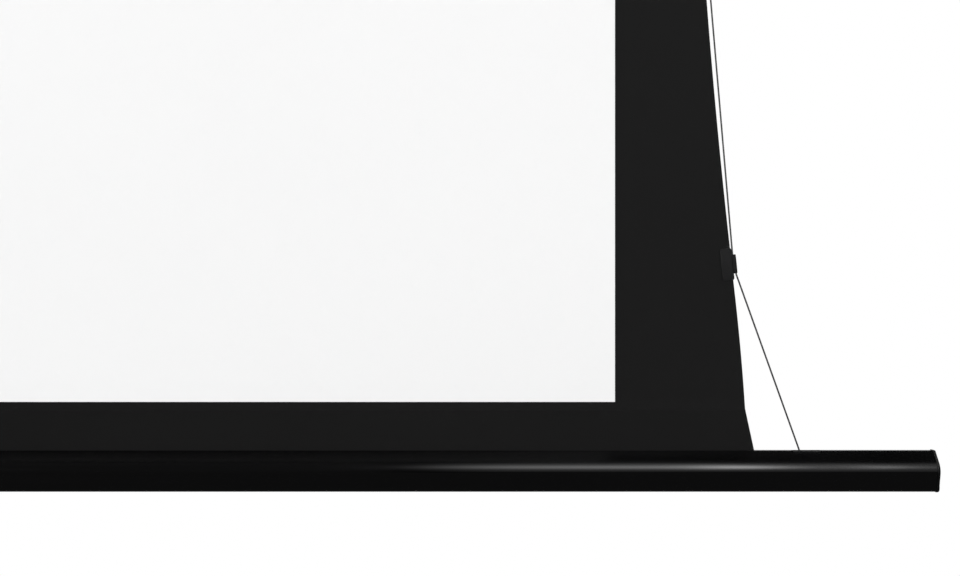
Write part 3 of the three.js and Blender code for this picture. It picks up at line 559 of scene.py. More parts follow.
@dataclass(frozen=True)
class MouldedPlastic(GrainedSkin):
    """Injection-moulded plastic with a spark-eroded skin."""

    patches: float = 18.0
    tints: tuple[float, float] = (0.9, 1.12)
    spread: tuple[float, float] = (-0.06, 0.08)
    grain: float = 1100.0
    pits: float = 0.8
    depth: float = 0.06
    strength: float = 0.4
    dust: float = 0.08


@dataclass(frozen=True)
class PolishedBlack(LinedSkin):
    """The bottom bar's glossy black skin, with the faint lines that the die leaves.

    The land above the bar's fold is a little rougher than the rest, because the fabric's hem
    slides along it. The fold's two heights are in millimetres under the bar's top.
    """

    spread: tuple[float, float] = (-0.02, 0.03)
    depth: float = 0.01
    strength: float = 0.12
    lines: float = 500.0
    stretch: tuple[float, float, float] = (0.004, 1.0, 1.0)
    land: float = 0.21
    fold: tuple[float, float] = (12.5, 8.5)

    def dress(self, skin: Skin) -> None:
        """Adds drawn lines along X, a slow change of gloss and the rougher land.

        Args:
            skin: the material's node tree.
        """
        colour, share = self.drifted(skin)
        height = skin.node("SeparateXYZ", Vector=skin.at).outputs["Z"]
        upper = skin.ramp(height, *((BAR_TOP - under) * MM for under in self.fold))
        rough = skin.between(upper, self.roughness, self.land)
        rough = skin.math("ADD", rough, skin.between(share, *self.spread))
        skin.set(Base_Color=colour, Roughness=rough)
        self.emboss(skin, self.streaked(skin))


@dataclass(frozen=True)
class BorderFabric(Finish):
    """Black coated fabric: a weave that shows through a matte skin."""

    patches: float = 7.0
    tints: tuple[float, float] = (0.94, 1.06)
    grain: float = 2600.0
    depth: float = 0.05
    strength: float = 0.5
    threads: float = 1600.0
    # Painted shade of the weave: the colour's factors between the threads and on the raised threads
    thread_tints: tuple[float, float] = (0.84, 1.1)
    grain_share: float = 0.5

    def dress(self, skin: Skin) -> None:
        """Adds the weave, with painted shade between its threads, uneven coating and a slow change
        of tone.

        Args:
            skin: the material's node tree.
        """
        colour, share = self.drifted(skin)
        weave = skin.effect(effects.weave, Vector=skin.at, Threads_per_metre=self.threads)
        # Painted shade: the colour is scaled down where the weave lies low, between the threads,
        # and a little up on the raised threads
        shaded = skin.node("VectorMath", {"operation": "SCALE"})
        skin.feed(shaded, 0, colour)
        skin.feed(shaded, "Scale", skin.between(weave.outputs[0], *self.thread_tints))
        skin.set(Base_Color=shaded.outputs[0])
        self.roughen(skin, share)
        grain = self.grained(skin)
        height = skin.math("MULTIPLY_ADD", grain, self.grain_share, weave.outputs[0])
        self.emboss(skin, height)


@dataclass(frozen=True)
class MatteVinyl(GrainedSkin):
    """The white viewing surface: matte coated vinyl, with a very fine emboss and even tone."""

    patches: float = 3.0
    tints: tuple[float, float] = (0.988, 1.0)
    grain: float = 2200.0
    pits: float = 0.6


@dataclass(frozen=True)
class BraidedCord(Finish):
    """A fine braided cord, its strands crossing at a slant round it.

    The strands are counted round it, and the slant is their waves to a diameter along it. The tints
    are the colour's factors for the painted shade in the grooves between the strands and for the
    painted light on their crowns.
    """

    tints: tuple[float, float] = (0.6, 1.3)
    depth: float = 0.12
    strength: float = 0.7
    strands: int = 4
    slant: float = 0.8

    def dress(self, skin: Skin) -> None:
        """Draws the strands from the cord's own map: round it and along it in diameters, with
        painted shade in the grooves between them.

        Args:
            skin: the material's node tree.
        """
        parts = skin.node("SeparateXYZ", Vector=skin.map)
        around = skin.math("MULTIPLY", parts.outputs["X"], 2 * math.pi * self.strands)
        along = skin.math("MULTIPLY", parts.outputs["Y"], 2 * math.pi * self.slant)
        left = skin.math("SINE", skin.math("ADD", around, along))
        right = skin.math("SINE", skin.math("SUBTRACT", around, along))
        strands = skin.math("MAXIMUM", left, right)
        # Painted shade: the colour goes dark in the grooves between the strands and light on their
        # crowns, following the relief's waves
        dark, light = (self.tint(factor) for factor in self.tints)
        skin.set(Base_Color=skin.blend(skin.between(strands, 0.0, 1.0), dark, light))
        self.emboss(skin, strands)


@dataclass(frozen=True)
class DrawnMetal(LinedSkin):
    """Bare metal with lines along its length."""

    patches: float = 12.0
    tints: tuple[float, float] = (0.9, 1.06)
    spread: tuple[float, float] = (-0.08, 0.12)
    strength: float = 0.25

    def dress(self, skin: Skin) -> None:
        """Makes it metal and adds the lines and slow patches.

        Args:
            skin: the material's node tree.
        """
        colour, _ = self.drifted(skin)
        skin.set(Metallic=1.0, Base_Color=colour)
        height = self.streaked(skin)
        self.roughen(skin, height)
        self.emboss(skin, height)


@dataclass(frozen=True)
class PlatedSteel(Finish):
    """Zinc-plated steel, slightly mottled."""

    patches: float = 90.0
    tints: tuple[float, float] = (0.8, 1.15)
    spread: tuple[float, float] = (-0.08, 0.1)
    grain: float = 1500.0

    def dress(self, skin: Skin) -> None:
        """Makes it metal and adds the plating's mottle and a fine relief.

        Args:
            skin: the material's node tree.
        """
        colour, share = self.drifted(skin)
        skin.set(Metallic=1.0, Base_Color=colour)
        self.roughen(skin, share)
        self.emboss(skin, self.grained(skin))


@dataclass(frozen=True)
class ClearLens(Finish):
    """Tinted acrylic, polished, with a coat over a slightly cloudy body."""

    patches: float = 160.0
    tints: tuple[float, float] = (0.7, 1.3)
    spread: tuple[float, float] = (-0.02, 0.04)
    coat: float = 0.3
    coat_roughness: float = 0.04
    glow: float = 0.0

    def dress(self, skin: Skin) -> None:
        """Adds the coat and the cloud in the body.

        Args:
            skin: the material's node tree.
        """
        colour, share = self.drifted(skin)
        skin.set(Base_Color=colour, Coat_Weight=self.coat, Coat_Roughness=self.coat_roughness)
        if self.glow:
            skin.set(Emission_Color=colour, Emission_Strength=self.glow)
        self.roughen(skin, share)


class Palette(Enum):
    """Every finish on the object."""

    CASE = CoatedMetal(Slot.CASE_BLACK, (0.008, 0.008, 0.0088), 0.4, 0.16)
    BAR = PolishedBlack(Slot.BAR_BLACK, (0.0004, 0.0004, 0.0005), 0.15, 0.045)
    BAR_CAP = MouldedPlastic(Slot.GLOSS_PLASTIC, (0.0006, 0.0006, 0.0007), 0.3, 0.04, depth=0.02)
    GUIDE = MouldedPlastic(Slot.BLACK_PLASTIC, (0.0008, 0.0008, 0.0009), 0.6, 0.02, depth=0.02)
    PLASTIC = MouldedPlastic(Slot.BLACK_PLASTIC, (0.009, 0.009, 0.0098), 0.5, 0.18)
    FABRIC = BorderFabric(Slot.BLACK_FABRIC, (0.0095, 0.0095, 0.0095), 0.9, 0.01)
    VINYL = MatteVinyl(Slot.WHITE_VINYL, (0.93, 0.93, 0.93), 0.88, 0.1)
    TAB = MouldedPlastic(Slot.TAB_PLASTIC, (0.0078, 0.0078, 0.008), 0.6, 0.016, depth=0.03)
    CORD = BraidedCord(Slot.BLACK_CORD, (0.012, 0.012, 0.013), 0.7, 0.2)
    RUBBER = MouldedPlastic(Slot.BLACK_RUBBER, (0.012, 0.012, 0.012), 0.65, 0.3)
    ALUMINIUM = DrawnMetal(Slot.BARE_ALUMINIUM, (0.62, 0.63, 0.64), 0.34, 0.5)
    ZINC = PlatedSteel(Slot.ZINC_STEEL, (0.5, 0.51, 0.52), 0.36, 0.5)
    BLACK_STEEL = MouldedPlastic(Slot.GLOSS_PLASTIC, (0.006, 0.006, 0.007), 0.32, 0.3, depth=0.01)
    GREY = MouldedPlastic(Slot.GREY_PLASTIC, (0.16, 0.165, 0.175), 0.5, 0.4)
    INFRARED = ClearLens(Slot.INFRARED_ACRYLIC, (0.016, 0.0015, 0.002), 0.08, 0.3)
    GREEN = ClearLens(Slot.GREEN_LENS, (0.02, 0.3, 0.06), 0.08, 0.5, glow=0.3)
    YELLOW = MouldedPlastic(Slot.YELLOW_PLASTIC, (0.65, 0.42, 0.02), 0.5, 0.4)
    WHITE = MouldedPlastic(Slot.WHITE_PLASTIC, (0.75, 0.75, 0.72), 0.5, 0.4)


# Forms


class Form:
    """Surfaces that are gathered into one piece's mesh, in millimetres."""

    def __init__(self) -> None:
        """Starts with no surface."""
        self.points: list[np.ndarray] = []
        self.maps: list[np.ndarray] = []
        self.faces: list[list[int]] = []
        self.count = 0

    def add(self, points: np.ndarray, faces: Iterable, uv: np.ndarray | None = None) -> "Form":
        """Adds points with faces that count them from 0.

        Args:
            points: an array of n points.
            faces: lists or rows of point numbers.
            uv: n pairs for the piece's own map, or None.

        Returns:
            The form itself.
        """
        points = np.asarray(points, float).reshape(-1, 3)
        uv = np.zeros((len(points), 2)) if uv is None else np.asarray(uv, float).reshape(-1, 2)
        self.faces += [[int(i) + self.count for i in face] for face in faces]
        self.points.append(points)
        self.maps.append(uv)
        self.count += len(points)
        return self

    def grid(self, points: np.ndarray, uv: np.ndarray | None = None) -> "Form":
        """Adds a surface over a grid of points, a quad between each four neighbours.

        Args:
            points: the points, as rows of a grid.
            uv: the map's pairs on the same grid.

        Returns:
            the form itself.
        """
        rows, columns = points.shape[:2]
        row, column = np.meshgrid(np.arange(rows - 1), np.arange(columns - 1), indexing="ij")
        first = row * columns + column
        quads = np.stack([first, first + 1, first + columns + 1, first + columns], -1)
        return self.add(points, quads.reshape(-1, 4), uv)

    def lid(self, outline: np.ndarray) -> "Form":
        """Adds one flat face over a closed outline that is given once round."""
        return self.add(outline, [range(len(outline))])

    def capped(self, rings: np.ndarray, uv: np.ndarray | None = None) -> "Form":
        """Adds a grid of closed rings, with a flat face over its first and its last."""
        return self.grid(rings, uv).lid(rings[0][:-1]).lid(rings[-1][:-1])

    def turned(
        self, profile: Sequence, centre: Sequence[float], axis: str = "x", sides: int = 64
    ) -> "Form":
        """Adds a lathe's surface: each pair of place and radius is carried round the axis.

        Args:
            profile: pairs of place along the axis and radius.
            centre: the point that the places are measured from.
            axis: x, y or z.
            sides: steps round.

        Returns:
            the form itself.
        """
        place, radius = np.asarray(profile, float).T
        c, s = circle(sides)
        along = np.repeat(place[:, None], sides + 1, 1)
        grids = {
            "x": (along, radius[:, None] * c, radius[:, None] * s),
            "y": (radius[:, None] * s, along, radius[:, None] * c),
            "z": (radius[:, None] * c, radius[:, None] * s, along),
        }
        return self.grid(np.stack(grids[axis], -1) + np.asarray(centre, float))

    def shell(
        self, outlines: Sequence[np.ndarray], from_x: float, to_x: float, rows: int
    ) -> "Form":
        """Adds outlines in Y and Z carried along X, with both ends closed between them.

        Args:
            outlines: the outer outline, and then the holes.
            from_x: where it starts.
            to_x: where it ends.
            rows: how many copies of each outline there are.

        Returns:
            the form itself.
        """
        for outline in outlines:
            self.grid(prism(outline, from_x, to_x, rows))
        for x in (from_x, to_x):
            self.plate_with_holes([on_plane(outline, "x", x) for outline in outlines])
        return self

    def join(self, other: "Form") -> "Form":
        """Adds all that another form holds.

        Args:
            other: the other form.

        Returns:
            the form itself.
        """
        self.faces += [[i + self.count for i in face] for face in other.faces]
        self.points += other.points
        self.maps += other.maps
        self.count += other.count
        return self

    def plate_with_holes(self, outlines: Sequence[np.ndarray]) -> "Form":
        """Adds a flat face over the first outline, less the others, cut into triangles.

        Args:
            outlines: the outer loop, and then the holes.

        Returns:
            the form itself.
        """
        loops = [[Vector(point) for point in outline] for outline in outlines]
        triangles = geometry.tessellate_polygon(loops)
        return self.add(np.concatenate(outlines), triangles)

    def moved(self, offset: Sequence[float], tilt: float = 0.0) -> "Form":
        """Turns everything about Y by a tilt, Z towards X, and then moves it.

        Args:
            offset: how far it moves along X, Y and Z.
            tilt: the turn in radians.

        Returns:
            the form itself.
        """
        c, s = math.cos(tilt), math.sin(tilt)
        turn = np.array([[c, 0, s], [0, 1, 0], [-s, 0, c]])
        self.points = [points @ turn.T + np.asarray(offset, float) for points in self.points]
        return self

    def mirrored(self, side: Side) -> "Form":
        """Puts the form on the given side by the sign of X."""
        self.points = [points * [side.value, 1, 1] for points in self.points]
        return self

    def mesh(self, name: str, weld: float = 0.0005) -> bpy.types.Mesh:
        """The finished mesh in metres: seams closed and faces turned outward.

        Args:
            name: the mesh's name.
            weld: how close points are to become one, in millimetres.

        Returns:
            the mesh.
        """
        mesh = bpy.data.meshes.new(name)
        mesh.from_pydata((np.concatenate(self.points) * MM).tolist(), [], self.faces)
        corners = np.zeros(len(mesh.loops), np.int32)
        mesh.loops.foreach_get("vertex_index", corners)
        layer = mesh.uv_layers.new(name="run")
        layer.data.foreach_set("uv", np.concatenate(self.maps)[corners].ravel())
        tidy(mesh, weld * MM)
        return mesh


def tidy(mesh: bpy.types.Mesh, weld: float) -> None:
    """Closes a mesh's seams, turns its faces outward and shades it smooth.

    Args:
        mesh: the mesh to work on.
        weld: points closer than this, in metres, become one.
    """
    work = bmesh.new()
    work.from_mesh(mesh)
    bmesh.ops.remove_doubles(work, verts=work.verts, dist=weld)
    bmesh.ops.dissolve_degenerate(work, edges=work.edges, dist=weld)
    bmesh.ops.recalc_face_normals(work, faces=work.faces)
    work.to_mesh(mesh)
    work.free()
    mesh.polygons.foreach_set("use_smooth", np.ones(len(mesh.polygons), bool))


def circle(sides: int) -> tuple[np.ndarray, np.ndarray]:
    """Cosine and sine at even steps once round, the first step repeated."""
    turn = np.linspace(0, 2 * np.pi, sides + 1)
    return np.cos(turn), np.sin(turn)


def closed(outline: np.ndarray) -> np.ndarray:
    """An outline with its first point again at its end."""
    return np.vstack([outline, outline[:1]])


def on_plane(pairs: np.ndarray, axis: str, level: float) -> np.ndarray:
    """Pairs placed on the plane where the named coordinate has the given level."""
    return np.insert(pairs, "xyz".index(axis), level, axis=-1)


def prism(outline: np.ndarray, from_x: float, to_x: float, rows: int = 2) -> np.ndarray:
    """An outline in Y and Z carried straight along X.

    Args:
        outline: pairs of Y and Z, given once round.
        from_x: where it starts.
        to_x: where it ends.
        rows: how many copies of the outline there are.

    Returns:
        A grid of points with the outline closed in each row.
    """
    return np.stack([on_plane(closed(outline), "x", x) for x in np.linspace(from_x, to_x, rows)])


def rod(low: float, high: float, radius: float, end: float, ease: float) -> list:
    """A round rod's profile for a lathe.

    Args:
        low: where it starts along its axis.
        high: where it ends.
        radius: its radius.
        end: the radius of its end faces.
        ease: how long the slope from an end face to the full radius is.

    Returns:
        pairs of place and radius.
    """
    near = [(low, 0), (low, end), (low + ease, radius)]
    return near + [(high - ease, radius), (high, end), (high, 0)]


def tube(path: np.ndarray, radius: float, sides: int = 12) -> tuple[np.ndarray, np.ndarray]:
    """A round section carried along a path that stays off the Y direction.

    The section at each point lies square to the path's direction there; one of its axes is
    the direction crossed with Y, and the other is square to both.

    Args:
        path: n points.
        radius: its radius.
        sides: steps round.

    Returns:
        The grid of points and its map: round the section, and along it in diameters.
    """
    run = np.gradient(path, axis=0)
    run /= np.linalg.norm(run, axis=1, keepdims=True)
    across = np.cross(run, [0.0, 1.0, 0.0])
    across /= np.linalg.norm(across, axis=1, keepdims=True)
    upward = np.cross(run, across)
    c, s = circle(sides)
    ring = across[:, None, :] * c[:, None] + upward[:, None, :] * s[:, None]
    steps = np.linalg.norm(np.diff(path, axis=0), axis=1)
    along = np.concatenate([[0], np.cumsum(steps)]) / (2 * radius)
    share = np.linspace(0, 1, sides + 1)
    uv = np.stack(np.meshgrid(share, along), -1)
    return path[:, None, :] + ring * radius, uv


def natural_spline(points: np.ndarray, steps: int) -> np.ndarray:
    """A curve through the points whose bend changes evenly and is nothing at the ends.

    The second derivatives at the points solve the usual three-band set of equations, with
    the chord lengths as the parameter, and each span is then a cubic.

    Args:
        points: n pairs.
        steps: how many points come back.

    Returns:
        Points along the curve, even in the parameter.
    """
    points = np.asarray(points, float)
    reach = np.concatenate([[0], np.cumsum(np.linalg.norm(np.diff(points, axis=0), axis=1))])
    h = np.diff(reach)
    n = len(points)
    bands = np.eye(n)
    right = np.zeros((n, points.shape[1]))
    inner = np.arange(1, n - 1)
    bands[inner, inner - 1] = h[:-1]
    bands[inner, inner] = 2 * (h[:-1] + h[1:])
    bands[inner, inner + 1] = h[1:]
    slope = np.diff(points, axis=0) / h[:, None]
    right[1:-1] = 6 * np.diff(slope, axis=0)
    bend = np.linalg.solve(bands, right)
    at = np.linspace(0, reach[-1], steps)
    span = np.clip(np.searchsorted(reach, at, side="right") - 1, 0, n - 2)
    t = (at - reach[span])[:, None]
    width = h[span][:, None]
    low, high = bend[span], bend[span + 1]
    start = slope[span] - width * (2 * low + high) / 6
    return points[span] + start * t + low * t**2 / 2 + (high - low) * t**3 / (6 * width)


def arc(
    centre: Sequence[float], radius: float, start: float, end: float, steps: int = 8
) -> np.ndarray:
    """Points on an arc round a centre, from one angle to another in degrees."""
    turn = np.radians(np.linspace(start, end, steps + 1))
    return np.stack([centre[0] + radius * np.cos(turn), centre[1] + radius * np.sin(turn)], -1)


def moved_out(outline: np.ndarray, distance: float) -> np.ndarray:
    """An outline moved sideways, to the right of its direction, keeping its sides parallel.

    Args:
        outline: the closed outline's points.
        distance: how far its sides move.

    Returns:
        the moved points.
    """
    arriving = outline - np.roll(outline, 1, 0)
    leaving = np.roll(outline, -1, 0) - outline
    arriving /= np.linalg.norm(arriving, axis=1, keepdims=True)
    leaving /= np.linalg.norm(leaving, axis=1, keepdims=True)
    outward = arriving + leaving
    outward /= np.linalg.norm(outward, axis=1, keepdims=True)
    reach = distance / np.sqrt((1 + np.sum(arriving * leaving, 1)) / 2)
    return outline + np.stack([outward[:, 1], -outward[:, 0]], -1) * reach[:, None]


def rounded(width: float, height: float, radius: float, steps: int = 6) -> np.ndarray:
    """A rectangle about the origin with round corners, anticlockwise.

    Args:
        width: its size along the first axis.
        height: its size along the second.
        radius: its corners' radius.
        steps: the steps in each corner.

    Returns:
        the points.
    """
    x, y = width / 2 - radius, height / 2 - radius
    corners = [((x, y), 0), ((-x, y), 90), ((-x, -y), 180), ((x, -y), 270)]
    return np.concatenate([arc(c, radius, start, start + 90, steps) for c, start in corners])


# Placing pieces


def in_scene(name: str, data: bpy.types.ID) -> bpy.types.Object:
    """A new object in the scene.

    Args:
        name: its name.
        data: its mesh, light or camera.

    Returns:
        the object.
    """
    made = bpy.data.objects.new(name, data)
    bpy.context.scene.collection.objects.link(made)
    return made


class Workshop:
    """Turns forms and refined copies into pieces that ride on the frame's bodies."""

    def __init__(self) -> None:
        """Starts the count of pieces."""
        self.made = 0

    def place(
        self,
        form: Form | bpy.types.Mesh,
        name: str,
        finish: Palette,
        body: str,
        replaces: Sequence[str] = (),
        bevel: float = 0.0,
        crease: float = 40.0,
    ) -> bpy.types.Object:
        """Makes one piece.

        Args:
            form: the form, or a mesh that is ready.
            name: the piece's name.
            finish: its finish.
            body: the body that it rides on.
            replaces: the nodes that it stands for.
            bevel: how wide its edges are rounded, in millimetres.
            crease: edges sharper than this many degrees stay sharp, or are rounded.

        Returns:
            The piece.
        """
        mesh = form.mesh(name) if isinstance(form, Form) else form
        piece = in_scene(name, mesh)
        if bevel:
            modifier = piece.modifiers.new("rounded_edges", "BEVEL")
            modifier.width = bevel * MM
            modifier.segments = 2
            modifier.limit_method = "ANGLE"
            modifier.angle_limit = math.radians(crease)
            modifier.harden_normals = True
        else:
            mesh.set_sharp_from_angle(angle=math.radians(crease))
        mesh.materials.clear()
        mesh.materials.append(finish.value.material())
        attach(piece, body)
        if replaces:
            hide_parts(*replaces)
        self.made += 1
        log.info("%s: %d faces on %s", name, len(mesh.polygons), body)
        return piece

    def refine(
        self, node: str, finish: Palette, body: str, bevel: float = 0.4, crease: float = 32.0
    ) -> bpy.types.Object:
        """Replaces a node by a copy with its flat faces whole, its edges rounded and smooth arcs.

        Args:
            node: the node that it stands for.
            finish: the piece's finish.
            body: the body that it rides on.
            bevel: the edges' rounding in millimetres.
            crease: the angle in degrees past which an edge stays sharp.

        Returns:
            the piece.
        """
        mesh = frame["nodes"][node].data.copy()
        mesh.name = node + "_dressed"
        work = bmesh.new()
        work.from_mesh(mesh)
        weld, flat = 0.002 * MM, math.radians(0.4)
        bmesh.ops.remove_doubles(work, verts=work.verts, dist=weld)
        bmesh.ops.dissolve_limit(work, angle_limit=flat, verts=work.verts, edges=work.edges)
        work.to_mesh(mesh)
        work.free()
        for name in [attribute.name for attribute in mesh.attributes]:
            if name in ("custom_normal", "sharp_face", "sharp_edge"):
                mesh.attributes.remove(mesh.attributes[name])
        mesh.polygons.foreach_set("use_smooth", np.ones(len(mesh.polygons), bool))
        return self.place(mesh, node + "_dressed", finish, body, [node], bevel, crease)


def box_mm(node: str) -> tuple[np.ndarray, np.ndarray, np.ndarray]:
    """A node's lowest and highest corners and its middle, in millimetres."""
    low, high = (np.array(corner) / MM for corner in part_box(node))
    return low, high, (low + high) / 2


def carve(piece: bpy.types.Object, cutter: Form) -> None:
    """Cuts a form out of a piece's mesh, for good.

    Args:
        piece: the piece that is cut.
        cutter: the form that is taken out.
    """
    tool = in_scene("cutter", cutter.mesh("cutter"))
    modifier = piece.modifiers.new("carve", "BOOLEAN")
    modifier.operation = "DIFFERENCE"
    modifier.solver = "EXACT"
    modifier.object = tool
    ready = piece.evaluated_get(bpy.context.evaluated_depsgraph_get())
    mesh = bpy.data.meshes.new_from_object(ready)
    piece.modifiers.remove(modifier)
    piece.data = mesh
    bpy.data.objects.remove(tool)


# The screen's fabric, tabs and cords


@dataclass
class FabricEdge:
    """How far the fabric's edge stands from the middle, by the height over the bottom bar."""

    drop: float = 1700.0
    roller_height: float = 1778.5
    narrow_half: float = 1168.6
    bow: float = 39.3
    tab_half: float = 1207.9
    hem_half: float = 1219.4
    hem_height: float = 36.0
    end_tab: float = 161.0
    belly: float = 0.8
    belly_span: float = 111.0

    def at(self, height: float | np.ndarray) -> np.ndarray:
        """The edge's X at a height.

        Between the end tabs it is a parabola, narrowest at half the drop. From the bottom tab
        it runs to the hem with a slight belly, four times its depth by the share of the way
        and by the rest of it, and then straight to the full width at the bar. From the top
        tab it runs straight to the full width at the roller.

        Args:
            height: one height, or an array of them.

        Returns:
            the X of each height.
        """
        height = np.asarray(height, float)
        middle, top_tab = self.drop / 2, self.drop - self.end_tab
        bowed = self.narrow_half + self.bow * ((height - middle) / (middle - self.end_tab)) ** 2
        heights = [0, self.hem_height, self.end_tab]
        bottom = np.interp(height, heights, [CLOTH_HALF, self.hem_half, self.tab_half])
        share = np.clip((height - self.hem_height) / self.belly_span, 0, 1)
        bottom = bottom + 4 * self.belly * share * (1 - share)
        top = np.interp(height, [top_tab, self.roller_height], [self.tab_half, CLOTH_HALF])
        return np.where(height < self.end_tab, bottom, np.where(height > top_tab, top, bowed))


@dataclass
class Screen:
    """The fabric with its white face, the tabs and the tension cords.

    A size with three numbers is a rounded rectangle's width, height and corner radius. The
    cord's outs are how far off the fabric's edge it stands.
    """

    shop: Workshop
    edge: FabricEdge = field(default_factory=FabricEdge)
    front_y: float = -29.5
    thickness: float = 0.4
    lowest: float = -2.8
    hem_step: float = 0.22
    weld_width: float = 3.0
    weld_slope: float = 0.4
    picture_half: float = 1107.0
    picture_low: float = -1730.5
    picture_high: float = -485.5
    picture_thickness: float = 0.2
    picture_gap: float = 0.01
    picture_ease: float = 0.15
    picture_step: float = 0.06
    lift: float = 1715.0
    tabs_per_side: int = 5
    pad: tuple[float, float, float] = (10.6, 28.0, 2.2)
    pad_in: float = 4.3
    sleeve_height: float = 16.4
    sleeve_outer: tuple[float, float, float] = (4.0, 3.2, 1.3)
    sleeve_bore: tuple[float, float, float] = (3.1, 1.8, 0.85)
    sleeve_out: float = 2.17
    cord_diameter: float = 1.5
    cord_out: float = 1.55
    cord_out_middle: float = 2.1
    cord_out_mouth: float = 2.9
    cord_ease: float = 1.6
    cord_step: float = 60.0
    cord_tail: float = 3.5

    @property
    def keep(self) -> float:
        """The share of its height that the fabric keeps when the bar is all the way up."""
        return 1 - self.lift / self.edge.roller_height

    def gather(self, piece: bpy.types.Object) -> None:
        """Gives a piece its own copy of its mesh."""
        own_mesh(piece)

    def fabric(self) -> None:
        """The black sheet.

        Each row runs from edge to edge at one height. The front stands further out over the
        hem, where the cloth is double, and a raised weld runs along the hem's upper edge.
        """
        top_tab = self.edge.drop - self.edge.end_tab
        hem = self.edge.hem_height
        w = self.weld_width
        weld = hem + np.array([-w, -w * 0.75, -w / 4, 0.0, self.weld_slope])
        bottom_rows, middle_rows, top_rows, columns = 13, 61, 9, 65
        heights = np.unique(np.concatenate([
            [self.lowest, 0.0],
            weld,
            np.linspace(hem, self.edge.end_tab, bottom_rows),
            np.linspace(self.edge.end_tab, top_tab, middle_rows),
            np.linspace(top_tab, self.edge.roller_height, top_rows),
        ]))
        half = self.edge.at(np.maximum(heights, 0))
        x = half[:, None] * np.linspace(-1, 1, columns)
        z = np.repeat((BAR_TOP + heights)[:, None], columns, 1)
        proud = np.interp(heights, weld, self.hem_step * np.array([1, 2, 2, 1, 0]))
        front_y = np.repeat((self.front_y - proud)[:, None], columns, 1)
        back_y = np.full_like(x, self.front_y + self.thickness)
        front, back = (np.stack([x, y, z], -1) for y in (front_y, back_y))
        form = Form().grid(front).grid(back)
        for ahead, behind in zip(self._rim(front), self._rim(back)):
            form.grid(np.stack([ahead, behind]))
        sheet = self.shop.place(
            form, "fabric_sheet", Palette.FABRIC, "case", ["screen_fabric"], crease=30
        )
        self.gather(sheet)

    def viewing_surface(self) -> None:
        """The white face: a thin sheet whose front edge is eased all round.

        The front is a grid in its plane; two more rings outside it, each lower by a share of
        the thickness, make the eased edge.
        """
        columns, rows = 41, 25
        x = np.linspace(-self.picture_half, self.picture_half, columns)
        z = np.linspace(self.picture_low, self.picture_high, rows)
        x_in, z_in = x.copy(), z.copy()
        for line in (x_in, z_in):
            line[[0, -1]] += [self.picture_ease, -self.picture_ease]
        face_y, back_y = self.front_y - self.picture_thickness, self.front_y - self.picture_gap
        middle_y = face_y + self.picture_step
        front = np.stack(np.meshgrid(x_in, z_in), -1)
        back = np.stack(np.meshgrid(x, z), -1)
        form = Form().grid(on_plane(front, "y", face_y)).grid(on_plane(back, "y", back_y))
        for inner, outer in zip(self._rim(front), self._rim(back)):
            rings = ((inner, face_y), (outer, middle_y), (outer, back_y))
            form.grid(np.stack([on_plane(ring, "y", y) for ring, y in rings]))
        face = self.shop.place(
            form, "white_face", Palette.VINYL, "case", ["viewing_surface"], crease=20
        )
        self.gather(face)

    @staticmethod
    def _rim(grid: np.ndarray) -> list[np.ndarray]:
        """The four sides of a grid of points."""
        return [grid[0], grid[:, -1], grid[-1], grid[:, 0]]

    def tab_heights(self) -> np.ndarray:
        """Heights of the tabs' middles over the bar, from the bottom up."""
        top_tab = self.edge.drop - self.edge.end_tab
        return np.linspace(self.edge.end_tab, top_tab, self.tabs_per_side)

    def _pad(self, front: bool) -> Form:
        """One of a tab's two pads, a plate with round corners and an eased outer face.

        The outline is a rectangle with round corners in X and Z; two smaller copies of it
        further out make the easing.

        Args:
            front: whether it is the front pad.

        Returns:
            the pad about the tab's middle.
        """
        outline = rounded(*self.pad)
        sign = -1.0 if front else 1.0
        steps = [(0.0, 0.3), (0.0, 0.62), (-0.12, 0.74), (-0.4, 0.8)]
        rings = []
        for inset, y in steps:
            ring = closed(moved_out(outline, inset)) - [self.pad_in, 0.0]
            rings.append(on_plane(ring, "y", sign * y))
        return Form().capped(np.stack(rings))

    def _sleeve(self) -> Form:
        """The tab's sleeve: a flattened tube, wider in the middle, with eased mouths.

        The section is a rounded rectangle in X and Y. Its size follows the height: it is
        full in the middle and draws in over the last millimetre, and the bore opens there.

        Returns:
            the sleeve about the tab's middle.
        """
        half = self.sleeve_height / 2
        place = np.array([-1, -0.95, -0.86, -0.5, 0.0, 0.5, 0.86, 0.95, 1]) * half
        grow = np.array([0.86, 0.95, 1, 1.03, 1.04, 1.03, 1, 0.95, 0.86])
        open_out = np.array([1.12, 1.05, 1, 1, 1, 1, 1, 1.05, 1.12])
        walls = []
        for size, share in ((self.sleeve_outer, grow), (self.sleeve_bore, open_out)):
            ring = closed(rounded(*size))
            rows = [ring * factor + [self.sleeve_out, 0.0] for factor in share]
            walls.append(np.stack([on_plane(row, "z", z) for row, z in zip(rows, place)]))
        form = Form().grid(walls[0]).grid(walls[1])
        for row in (0, -1):
            form.grid(np.stack([walls[0][row], walls[1][row]]))
        return form

    def tabs(self) -> None:
        """Ten tabs, each tilted with the edge that it grips."""
        length = self.pad[1]
        middle_y = self.front_y + self.thickness / 2
        for i, height in enumerate(self.tab_heights()):
            x = float(self.edge.at(height))
            rise = float(self.edge.at(height + length / 2) - self.edge.at(height - length / 2))
            for side in Side:
                form = self._pad(True).join(self._pad(False)).join(self._sleeve())
                form.moved((x, middle_y, BAR_TOP + height), math.atan2(rise, length))
                form.mirrored(side)
                node = f"{side.word}_tab_{self.tabs_per_side - i}"
                name = node + "_moulded"
                tab = self.shop.place(form, name, Palette.TAB, "case", [node], crease=35)
                self.gather(tab)

